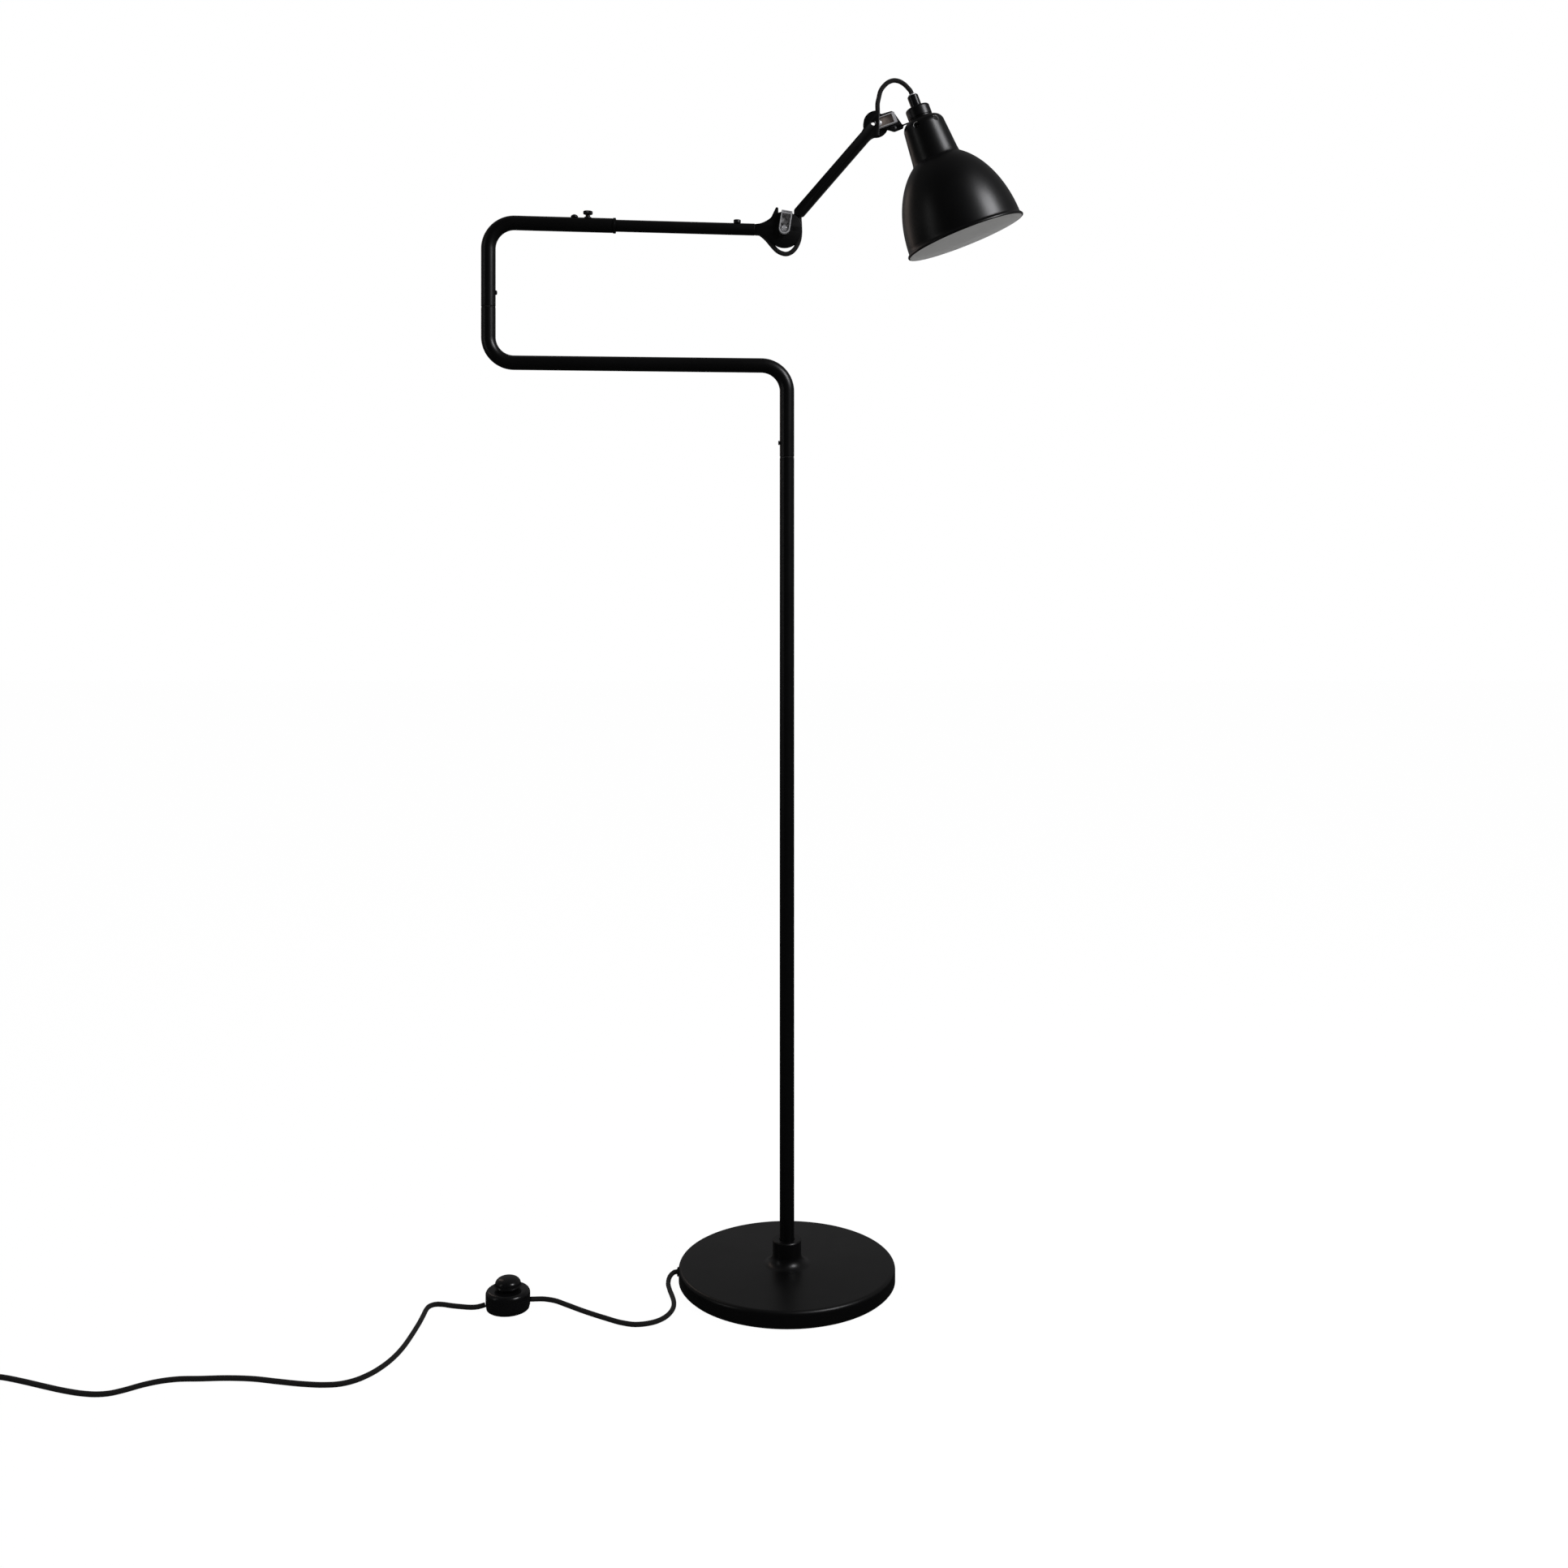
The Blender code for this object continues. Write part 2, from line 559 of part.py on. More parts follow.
def build_clamp(run, tube):
    """Guide screw, threaded bush, thumbscrew and end ring on the upper arm's open end."""
    outer = TUBE_DIAMETER / 2
    inner = outer - TUBE_WALL
    slide = SLIDE_DIAMETER / 2
    seat = outer + GAP
    tip = slide - KEY_DEPTH + GAP
    dome = seat + GUIDE_HEAD_HEIGHT
    profile = [(0, dome), (GUIDE_HEAD_RADIUS * 0.55, dome - 0.0003), (GUIDE_HEAD_RADIUS * 0.9, dome - 0.0012),
               (GUIDE_HEAD_RADIUS, seat), (SCREW_RADIUS, seat), (SCREW_RADIUS, tip), (0, tip)]
    turned("guide_screw", profile, BLACK_STEEL, run, (GUIDE_SCREW_AT, 0, 0), steps=20)
    join(tube, drill("guide_hole", SCREW_RADIUS + GAP, 0, seat + 0.003, run, (GUIDE_SCREW_AT, 0, 0),
                     steps=16))
    bush = THUMB_NECK_RADIUS + GAP + 0.0012
    turned("clamp_bush", ring_profile(bush, THUMB_NECK_RADIUS + GAP, inner + 0.0002, outer + 0.0006),
           BLACK_STEEL, run, (THUMBSCREW_AT, 0, 0), steps=20)
    join(tube, drill("bush_hole", bush + GAP, 0, outer + 0.003, run, (THUMBSCREW_AT, 0, 0), steps=20))
    head = outer + THUMB_HEAD_LIFT
    top = head + THUMB_HEAD_HEIGHT
    profile = [(0, top), (THUMB_HEAD_RADIUS - 0.0006, top), (THUMB_HEAD_RADIUS, top - 0.0006),
               (THUMB_HEAD_RADIUS, head + 0.0005), (THUMB_HEAD_RADIUS - 0.0005, head),
               (THUMB_NECK_RADIUS, head), (THUMB_NECK_RADIUS, slide + GAP), (0, slide + GAP)]
    turned("thumbscrew", profile, BLACK_STEEL, run, (THUMBSCREW_AT, 0, 0), steps=24)
    ring = outer + MOUTH_RING_WALL
    turned("arm_end_ring", ring_profile(ring, slide + GAP, 0, MOUTH_RING_LENGTH), BLACK_PAINT, run,
           (UPPER_RUN_LENGTH + GAP, 0, 0), (0, math.pi / 2, 0), steps=24)


def build_slide_tube(run):
    outer = SLIDE_DIAMETER / 2
    profile = ring_profile(outer, outer - SLIDE_WALL, SLIDE_START, SLIDE_END)
    tube = turned("slide_tube", profile, BLACK_PAINT, run, turn=(0, math.pi / 2, 0), steps=24)
    middle = (KEY_START + KEY_END) / 2
    join(tube, block("key_groove", (KEY_END - KEY_START, KEY_WIDTH, 2 * KEY_DEPTH), run, (middle, 0, outer)))
    seat = outer + GAP
    top = seat + FIXING_HEAD_HEIGHT
    tip = outer - SLIDE_WALL - 0.0006
    profile = [(0, top), (FIXING_HEAD_RADIUS - 0.0005, top), (FIXING_HEAD_RADIUS, top - 0.0005),
               (FIXING_HEAD_RADIUS, seat), (SCREW_RADIUS, seat), (SCREW_RADIUS, tip), (0, tip)]
    turned("fixing_screw", profile, BLACK_STEEL, run, (FIXING_SCREW_AT, 0, 0), steps=20)
    join(tube, drill("fixing_hole", SCREW_RADIUS + GAP, 0, seat + 0.002, run, (FIXING_SCREW_AT, 0, 0),
                     steps=16))


# ---------------------------------------------------------------- elbow

def cheek_outline():
    """Pressed cheek: root as wide as the tube, flared top edge, horn, round body, sloping lower edge."""
    r = CHEEK_RADIUS
    horn = -0.0070
    lean = math.degrees(math.acos(horn / r))
    points = [(-0.0338, -0.0056), (-0.0338, 0.0062), (-0.0280, 0.0066), (-0.0220, 0.0090), (-0.0156, 0.0131)]
    points += arc((-0.0087, 0.0236), 0.0017, 165, 0, 5)
    points += arc((0, 0), r, lean, -126, 24)
    points += [(-0.0150, -0.0156), (-0.0196, -0.0108), (-0.0245, -0.0070), (-0.0290, -0.0058)]
    return points


def build_elbow(elbow):
    hole = arc((0, 0), BOLT_RADIUS + GAP, 0, 330, 11)
    centre = SLOT_WIDTH / 2 + CHEEK_THICKNESS / 2
    for name, side in (("elbow_cheek_front", -1), ("elbow_cheek_back", 1)):
        plate(name, [cheek_outline(), hole], CHEEK_THICKNESS, BLACK_PAINT, elbow, (0, side * centre, 0))
    root = [(-0.0600, 0.0010), (-0.0600, 0.0042), (-0.0330, 0.0034), (-0.0290, 0.0060), (-0.0160, 0.0100)]
    root += [(-0.0148, 0.0020), (-0.0152, -0.0050), (-0.0190, -0.0050), (-0.0235, -0.0005), (-0.0330, 0.0005)]
    plate("elbow_root", [root], SLOT_WIDTH - 2 * GAP, BLACK_STEEL, elbow)
    path = smooth_path(in_xz(ELBOW_LEAD), 0.0065)
    rod("elbow_lead", path, LEAD_RADIUS, TEXTILE, elbow, resolution=2)


def pivot_bolt(prefix, parent, place, shank, head_radius, head_low, nut_low):
    """Bolt along Y with its head to the front; lows are distances from the middle plane."""
    high = head_low + BOLT_HEAD_HEIGHT
    end = -(nut_low + BOLT_NUT_THICKNESS + 0.0006)
    profile = [(0, high), (head_radius - 0.0006, high), (head_radius, high - 0.0008),
               (head_radius, head_low), (shank, head_low), (shank, end), (0, end)]
    stand = (math.pi / 2, 0, 0)
    turned(prefix + "_bolt", profile, CHROME, parent, (place[0], 0, place[1]), stand, steps=20)
    bore = arc((0, 0), shank + GAP, 0, 330, 11)
    middle = nut_low + BOLT_NUT_THICKNESS / 2
    plate(prefix + "_nut", [hexagon(BOLT_NUT_FLATS), bore], BOLT_NUT_THICKNESS, BLACK_STEEL, parent,
          (place[0], middle, place[1]))


def lever_outline(inset, end, nose):
    half = LEVER_WIDTH / 2 - inset
    squash = (nose - inset) / half
    return [(x * squash, y) for x, y in arc((0, 0), half, 270, 90, 10)] + [(end, half), (end, -half)]


def build_lever(name, parent, place, front, depth, angle, shank, nose):
    """Chrome locking lever: a folded trough with a solid lip at its free end; front is its foremost Y."""
    axis = frame(name + "_axis", parent, (place[0], 0, place[1]), -angle)
    hole = arc((0, 0), shank + GAP, 0, 330, 11)
    outline = lever_outline(0, LEVER_LENGTH, nose)
    lever = plate(name, [outline, hole], depth, CHROME, axis, (0, front + depth / 2, 0))
    lever = as_mesh(lever)
    pocket_depth = depth - LEVER_FLOOR
    inside = lever_outline(LEVER_WALL, LEVER_LENGTH - LEVER_LIP, nose)
    pocket = plate(name + "_trough", [inside], pocket_depth + 0.001, None, axis,
                   (0, front + pocket_depth / 2 - 0.0005, 0))
    join(lever, as_mesh(pocket))


# ---------------------------------------------------------------- forearm

def forearm_outline(front):
    """Rod with a cut-back shoulder at the elbow end and a round eye at the head end."""
    half = FOREARM_WIDTH / 2
    eye = (FOREARM_LENGTH, 0)
    lean = math.degrees(FOREARM_ANGLE)
    cut = math.degrees(math.acos(EYE_CUT / EYE_RADIUS))
    neck = FOREARM_LENGTH - 0.0186
    points = [(SHOULDER_START, 0.0), (SHOULDER_START - 0.0002, 0.0035), (SHOULDER_START + 0.0031, half)]
    points += [(neck, half), (neck + 0.0040, half + 0.0007)]
    if front:
        points += arc(eye, EYE_RADIUS, 144, cut - lean, 12)
        points += arc(eye, EYE_RADIUS, -cut - lean, -144, 3)
    else:
        points += arc(eye, EYE_RADIUS, 144, -144, 26)
    points += [(neck + 0.0040, -half - 0.0007), (neck, -half), (SHOULDER_START + 0.0051, -half)]
    return points


def at_eye(offset):
    """A point given level from the eye's centre, in the forearm's own frame."""
    cosine = math.cos(FOREARM_ANGLE)
    sine = math.sin(FOREARM_ANGLE)
    along = offset[0] * cosine + offset[1] * sine
    across = -offset[0] * sine + offset[1] * cosine
    return (FOREARM_LENGTH + along, across)


def build_forearm(arm):
    thickness = FOREARM_DEPTH / 2 - GAP / 2
    centre = GAP / 2 + thickness / 2
    sight = arc(at_eye(EYE_HOLE), EYE_HOLE_RADIUS, 0, 330, 11)
    pivot = arc(at_eye(HEAD_PIVOT), HEAD_BOLT_RADIUS + GAP, 0, 330, 11)
    channel_end = FOREARM_LENGTH - EYE_RADIUS + 0.002
    channel = block("lead_channel", (channel_end, CHANNEL_DEPTH, FOREARM_WIDTH - 2 * CHANNEL_WALL), arm,
                    (channel_end / 2, 0, 0))
    slot = drill("eye_slot", EYE_RADIUS + 0.0008, -EYE_SLOT / 2, EYE_SLOT / 2, arm,
                 (FOREARM_LENGTH, 0, 0), (math.pi / 2, 0, 0), steps=32)
    for name, side in (("forearm_front", -1), ("forearm_back", 1)):
        holes = [sight] if side < 0 else [sight, pivot]
        half = plate(name, [forearm_outline(side < 0)] + holes, thickness, BLACK_PAINT, arm,
                     (0, side * centre, 0))
        half = as_mesh(half)
        join(half, channel)
        join(half, slot)
    outline = arc((0, 0), TONGUE_RADIUS, 55, 343, 20)
    outline += [(0.0190, -0.0020), (0.0222, 0.0000), (0.0250, 0.0012), (0.0430, 0.0012), (0.0430, 0.0044)]
    outline += [(0.0245, 0.0044), (0.0212, 0.0034), (0.0190, 0.0042)]
    hole = arc((0, 0), BOLT_RADIUS + GAP, 0, 330, 11)
    plate("forearm_tongue", [outline, hole], SLOT_WIDTH - 2 * GAP, BLACK_STEEL, arm)


# ---------------------------------------------------------------- head

def build_bracket(head, shade):
    """Flat arm from the head pivot to a ring that is clamped between shade and socket cap."""
    low = HEAD_LEVER_DEPTH - EYE_SLOT / 2 + 0.0002 + GAP
    high = EYE_SLOT / 2 - 0.0002
    ring_low = neck_top() + GAP
    ring_high = ring_low + BRACKET_RING_THICKNESS
    drop = -HEAD_DROP
    outline = arc((0, 0), 0.0050, 80, 250, 8)
    outline += [(0.0086, -0.0115), (0.0135, -0.0152), (0.0245, -0.0150), (0.0262, drop + ring_low)]
    outline += [(HEAD_OFFSET - 0.0110, drop + ring_low), (HEAD_OFFSET - 0.0110, drop + ring_high)]
    outline += [(0.0250, drop + ring_high), (0.0208, 0.0064), (0.0191, 0.0087), (0.0098, 0.0093)]
    outline += [(0.0056, 0.0097), (0.0041, 0.0058)]
    hole = arc((0, 0), HEAD_BOLT_RADIUS + GAP, 0, 330, 11)
    screw_hole = arc(BRACKET_SCREW, SCREW_RADIUS + GAP, 0, 330, 11)
    arm = plate("head_bracket", [outline, hole, screw_hole], high - low, BLACK_PAINT, head,
                (0, (low + high) / 2, 0))
    arm = as_mesh(arm)
    ring = turned("bracket_ring", ring_profile(SOCKET_CAP_RADIUS - 0.0005, SOCKET_STEM_RADIUS + GAP,
                                               ring_low, ring_high), None, shade, steps=28)
    join(arm, ring, "UNION")
    seat = GAP - low
    top = seat + BRACKET_SCREW_HEIGHT
    r = BRACKET_SCREW_RADIUS
    profile = [(0, top), (r * 0.5, top - 0.0002), (r * 0.85, top - 0.0008), (r, seat + 0.0005), (r, seat),
               (SCREW_RADIUS, seat), (SCREW_RADIUS, -high), (0, -high)]
    turned("bracket_screw", profile, BLACK_STEEL, head, (BRACKET_SCREW[0], 0, BRACKET_SCREW[1]),
           (math.pi / 2, 0, 0), steps=18)


def neck_top():
    return NECK_SHOULDER + NECK_SHOULDER_RADIUS


def neck_centre():
    return NECK_TOP_RADIUS - NECK_SHOULDER_RADIUS


def dome_point(height, inset):
    radius = SHADE_DOME_RADIUS - inset
    rise = SHADE_DOME_HEIGHT - inset
    return (radius * math.sqrt(1 - (height / rise) ** 2), height)


def shade_surface(inset, bends, angles):
    """One face of the shade from the top down: shoulder, tapered neck, fillet, dome."""
    shoulder = arc((neck_centre(), NECK_SHOULDER), NECK_SHOULDER_RADIUS - inset, 90, 0, bends)
    base = NECK_BOTTOM_RADIUS - inset
    neck = [(base, NECK_BOTTOM), (base + 0.0015, NECK_BOTTOM - 0.0040)]
    heights = [SHADE_DOME_TOP * math.sin(math.radians(a)) for a in angles]
    return shoulder + neck + [dome_point(height, inset) for height in heights]


def build_shade(shade):
    hole = SOCKET_STEM_RADIUS + GAP
    outside = [(hole, neck_top())] + shade_surface(0.0, 4, (90, 74, 60, 47, 35, 23, 11, 3))
    rim = [(SHADE_RIM_RADIUS, 0.0028), (SHADE_RIM_RADIUS + 0.0004, 0.0012), (SHADE_RIM_RADIUS - 0.0004, 0.0),
           (SHADE_RIM_RADIUS - 0.0022, 0.0002)]
    inside = shade_surface(SHADE_SHEET, 2, (90, 72, 57, 43, 29, 16, 3))[::-1]
    inside += [(hole, neck_top() - SHADE_SHEET)]
    skin = turned("shade", outside + rim + inside, BLACK_PAINT, shade, steps=40)
    reach = neck_centre() + math.sqrt(NECK_SHOULDER_RADIUS**2 - (VENT_HEIGHT - NECK_SHOULDER) ** 2)
    rise = math.asin((VENT_HEIGHT - NECK_SHOULDER) / NECK_SHOULDER_RADIUS)
    start = VENT_HEIGHT - reach * math.tan(rise)
    for number in range(VENT_COUNT):
        around = math.radians(VENT_FIRST_ANGLE + 360 * number / VENT_COUNT)
        join(skin, drill("vent_%d" % (number + 1), VENT_RADIUS, 0.012, 0.034, shade, (0, 0, start),
                         (0, math.pi / 2 - rise, around), steps=14))


def build_socket(shade):
    """Cap, cable cap, lampholder with its ring, and the lamp bulb, all on the shade's axis."""
    cap_low = neck_top() + BRACKET_RING_THICKNESS + 2 * GAP
    cap_high = cap_low + SOCKET_CAP_HEIGHT
    r = SOCKET_CAP_RADIUS
    wall = 0.0014
    stem = SOCKET_STEM_RADIUS
    profile = [(stem + GAP, cap_high)] + arc((r - 0.0032, cap_high - 0.0030), 0.0030, 90, 0, 4)
    profile += [(r, cap_low), (r - wall, cap_low), (r - wall - 0.0002, cap_high - wall)]
    profile += [(stem + GAP, cap_high - wall)]
    turned("socket_cap", profile, BLACK_PAINT, shade, steps=26)
    low = cap_high + GAP
    high = low + CABLE_CAP_HEIGHT
    inner = stem + GAP
    c = CABLE_CAP_RADIUS
    profile = [(LEAD_RADIUS + GAP, high), (c - 0.0010, high), (c - 0.0002, high - 0.0008), (c, low)]
    profile += [(inner, low), (inner, high - 0.0090), (LEAD_RADIUS + GAP, high - 0.0090)]
    turned("cable_cap", profile, BLACK_PLASTIC, shade, steps=20)
    stem_high = high - 0.0090 - GAP
    stem_low = neck_top() - SHADE_SHEET - GAP
    body = HOLDER_RADIUS
    hollow = body - HOLDER_WALL
    profile = [(stem, stem_high), (stem, stem_low), (body - 0.002, stem_low), (body, stem_low - 0.002)]
    profile += [(body, HOLDER_BOTTOM), (hollow, HOLDER_BOTTOM), (hollow, 0.1180), (0.0030, 0.1180)]
    profile.append((0.0030, stem_high))
    turned("lampholder", profile, BLACK_PLASTIC, shade, steps=24)
    turned("lampholder_ring", ring_profile(body + 0.0032, body + GAP, 0.1060, 0.1095), BLACK_PLASTIC, shade,
           steps=24)
    neck = BULB_NECK_RADIUS
    join_angle = math.degrees(math.acos(0.0105 / BULB_RADIUS))
    glass = arc((0, BULB_CENTRE), BULB_RADIUS, join_angle, -90, 9)
    glass[-1] = (0.0, BULB_CENTRE - BULB_RADIUS)
    profile = [(0, 0.1120), (0.0040, 0.1110), (neck, 0.1085), (neck, 0.0830)] + glass
    turned("bulb", profile, OPAL_GLASS, shade, steps=20)


# ---------------------------------------------------------------- cord, foot switch, plug

def build_cord_bush():
    face = BASE_DIAMETER / 2 + GAP
    flange = face + 0.0016
    inner = CORD_RADIUS + GAP
    barrel = CORD_RADIUS + 0.0013
    profile = [(inner, flange), (BUSH_FLANGE_RADIUS - 0.0006, flange), (BUSH_FLANGE_RADIUS, face + 0.0008),
               (BUSH_FLANGE_RADIUS, face), (barrel, face), (barrel, face - 0.009), (inner, face - 0.009)]
    turned("cord_bush", profile, BLACK_RUBBER, None, (0, 0, CORD_EXIT_HEIGHT), (0, -math.pi / 2, 0), steps=20)


def build_cords():
    """Two lengths of free cord, each with a straight piece at its fitted end."""
    for name, route in (("cord_to_switch", CORD_TO_SWITCH), ("cord_to_coil", CORD_TO_COIL)):
        path = [route[0]] + smooth_path(route[1:-1], CORD_SPACING) + [route[-1]]
        rod(name, path, CORD_RADIUS, TEXTILE, None, resolution=2)


def build_switch():
    place = (SWITCH_PLACE[0], SWITCH_PLACE[1], 0)
    around = (0, 0, SWITCH_TURN)
    r = SWITCH_RADIUS
    inner = r - SWITCH_WALL
    floor = 0.0002
    profile = [(0, floor + 0.0016), (inner - GAP - 0.0012, floor + 0.0016), (inner - GAP - 0.0012, 0.0070),
               (inner - GAP, 0.0070), (inner - GAP, SWITCH_BASE_HEIGHT), (r - 0.0008, SWITCH_BASE_HEIGHT),
               (r - 0.0008, floor), (0, floor)]
    base = turned("switch_base", profile, BLACK_PLASTIC, None, place, around, steps=28)
    mouth = BUTTON_STEM_RADIUS + 0.0004
    top = SWITCH_HEIGHT
    low = SWITCH_BASE_HEIGHT + GAP
    s = SWITCH_SHOULDER
    profile = [(mouth, top)] + arc((r - s, top - s), s, 90, 0, 4) + [(r, low), (inner, low)]
    profile += arc((r - s, top - s), s - SWITCH_WALL, 0, 90, 4) + [(mouth, top - SWITCH_WALL)]
    cover = turned("switch_cover", profile, BLACK_PLASTIC, None, place, around, steps=32)
    ports = drill("cord_ports", CORD_RADIUS + GAP, -0.03, 0.03, None,
                  (*SWITCH_PLACE, SWITCH_PORT_HEIGHT), (0, math.pi / 2, SWITCH_TURN), steps=12)
    join(base, ports)
    join(cover, ports)
    build_button(place)


def build_button(place):
    """Mushroom push button on a hollow stem, held up by a wire spring."""
    b = BUTTON_RADIUS
    skirt = SWITCH_HEIGHT + BUTTON_TRAVEL + GAP
    stem_bottom = skirt - 0.0105
    cup = stem_bottom + 0.0080
    profile = [(0, BUTTON_TOP), (b * 0.45, BUTTON_TOP - 0.0008), (b * 0.78, BUTTON_TOP - 0.0028),
               (b * 0.95, BUTTON_TOP - 0.0056), (b, skirt + 0.0020), (b - 0.0008, skirt)]
    profile += [(BUTTON_STEM_RADIUS, skirt), (BUTTON_STEM_RADIUS, stem_bottom)]
    profile += [(BUTTON_STEM_RADIUS - 0.002, stem_bottom), (BUTTON_STEM_RADIUS - 0.002, cup), (0, cup)]
    turned("switch_button", profile, BLACK_PLASTIC, None, place, steps=28)
    low = 0.0018 + GAP + SPRING_WIRE
    high = cup - GAP - SPRING_WIRE
    count = SPRING_TURNS * 7
    points = []
    for i in range(count + 1):
        angle = math.tau * i / 7
        rise = low + (high - low) * i / count
        points.append((SPRING_RADIUS * math.cos(angle), SPRING_RADIUS * math.sin(angle), rise))
    rod("switch_spring", points, SPRING_WIRE, ZINC, None, resolution=1, place=place)


def build_coil():
    """Stored cord: one ring of the bundle's outer shape, held by a tie, and a short tail to the plug."""
    x, y = COIL_PLACE
    h = COIL_HALF_SECTION
    z = COIL_LIFT + h
    c = 0.0022
    profile = [(COIL_RADIUS + h - c, z + h), (COIL_RADIUS + h, z + h - c), (COIL_RADIUS + h, z - h + c),
               (COIL_RADIUS + h - c, z - h), (COIL_RADIUS - h + c, z - h), (COIL_RADIUS - h, z - h + c),
               (COIL_RADIUS - h, z + h - c), (COIL_RADIUS - h + c, z + h)]
    turned("cord_coil", profile, TEXTILE, None, (x, y, 0), steps=30)
    inner = h + GAP
    outer = inner + TIE_WALL - 0.0002
    loop = [[(-s, -s), (s, -s), (s, s), (-s, s)] for s in (outer, inner)]
    plate("cord_tie", loop, TIE_WIDTH, BLACK_RUBBER, None, (x, y - COIL_RADIUS, z), (0, math.pi / 2, 0))


def build_plug():
    x = COIL_PLACE[0] - COIL_RADIUS - 0.0027
    y = COIL_PLACE[1] - 0.0210
    z = PLUG_THICKNESS / 2 + 0.0002
    back = math.pi / 2
    boot = y - 0.0100
    rod("cord_tail", [(x, y, z + 0.0008), (x, y - 0.0048, z + 0.0002), (x, boot + GAP, z)],
        CORD_RADIUS, TEXTILE, None, resolution=2)
    length = PLUG_BOOT_LENGTH
    profile = [(0, 0), (0.0034, 0), (0.0036, -0.001), (0.0052, -length), (0, -length)]
    turned("plug_boot", profile, BLACK_RUBBER, None, (x, boot, z), (-back, 0, 0), steps=16)
    start = boot - length - GAP
    half = PLUG_WIDTH / 2
    outline = [(-0.0065, 0), (-half, -0.0190), (-half, -PLUG_LENGTH + 0.003), (-half + 0.003, -PLUG_LENGTH)]
    outline += [(-px, py) for px, py in reversed(outline)]
    plate("plug_body", [outline], PLUG_THICKNESS, BLACK_PLASTIC, None, (x, start, z), (0, 0, 0))
    face = start - PLUG_LENGTH - GAP
    r = PIN_RADIUS
    profile = [(0, 0), (r, 0), (r, -PIN_LENGTH + 0.001), (r - 0.001, -PIN_LENGTH), (0, -PIN_LENGTH)]
    for name, side in (("plug_pin_left", -1), ("plug_pin_right", 1)):
        turned(name, profile, BRASS, None, (x + side * PIN_SPACING / 2, face, z), (-back, 0, 0), steps=12)


# ---------------------------------------------------------------- the lamp

build_base()
build_base_fixings()
build_post()
build_cord_bush()
build_cords()
build_switch()
build_coil()
build_plug()

lower_axis = frame("lower_swivel_axis", None, (0, 0, LOWER_SWIVEL_HEIGHT))
upper_axis = frame("upper_swivel_axis", lower_axis,
                   (-ARM_REACH, 0, UPPER_SWIVEL_HEIGHT - LOWER_SWIVEL_HEIGHT))
run_axis = frame("telescope_axis", upper_axis, (0, 0, UPPER_CORNER_HEIGHT - UPPER_SWIVEL_HEIGHT), RUN_DROOP)
elbow_axis = frame("elbow_axis", run_axis, (ELBOW_AT, 0, ELBOW_LIFT), -RUN_DROOP)
arm_axis = frame("forearm_axis", elbow_axis, (0, 0, 0), -FOREARM_ANGLE)
eye_axis = frame("eye_axis", arm_axis, (FOREARM_LENGTH, 0, 0), FOREARM_ANGLE)
head_axis = frame("head_axis", eye_axis, (HEAD_PIVOT[0], 0, HEAD_PIVOT[1]), -HEAD_TILT)
shade_axis = frame("shade_axis", head_axis, (HEAD_OFFSET, 0, -HEAD_DROP))

build_swivel("lower_swivel", lower_axis)
build_lower_arm(lower_axis)
build_swivel("upper_swivel", upper_axis)
build_clamp(run_axis, build_upper_arm(upper_axis))
build_slide_tube(run_axis)

build_elbow(elbow_axis)
elbow_face = max(SLOT_WIDTH / 2 + CHEEK_THICKNESS, FOREARM_DEPTH / 2) + GAP
build_lever("elbow_lever", elbow_axis, (0, 0), -elbow_face - ELBOW_LEVER_DEPTH, ELBOW_LEVER_DEPTH,
            ELBOW_LEVER_ANGLE, BOLT_RADIUS, LEVER_WIDTH / 2)
pivot_bolt("elbow", elbow_axis, (0, 0), BOLT_RADIUS, BOLT_HEAD_RADIUS, elbow_face + LEVER_FLOOR + GAP,
           elbow_face)

build_forearm(arm_axis)
head_front = -EYE_SLOT / 2 + 0.0002
build_lever("head_lever", eye_axis, HEAD_PIVOT, head_front, HEAD_LEVER_DEPTH, HEAD_LEVER_ANGLE,
            HEAD_BOLT_RADIUS, HEAD_LEVER_NOSE)
head_floor = head_front + HEAD_LEVER_DEPTH - LEVER_FLOOR - GAP
pivot_bolt("head", eye_axis, HEAD_PIVOT, HEAD_BOLT_RADIUS, HEAD_BOLT_HEAD, -head_floor,
           FOREARM_DEPTH / 2 + GAP)

build_bracket(head_axis, shade_axis)
build_shade(shade_axis)
build_socket(shade_axis)
rod("head_lead", smooth_path(in_xz(HEAD_LEAD), 0.0070), LEAD_RADIUS, TEXTILE, eye_axis, resolution=2)
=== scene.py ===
import json
import math

import bmesh
import bpy
from mathutils import Matrix, Vector, geometry


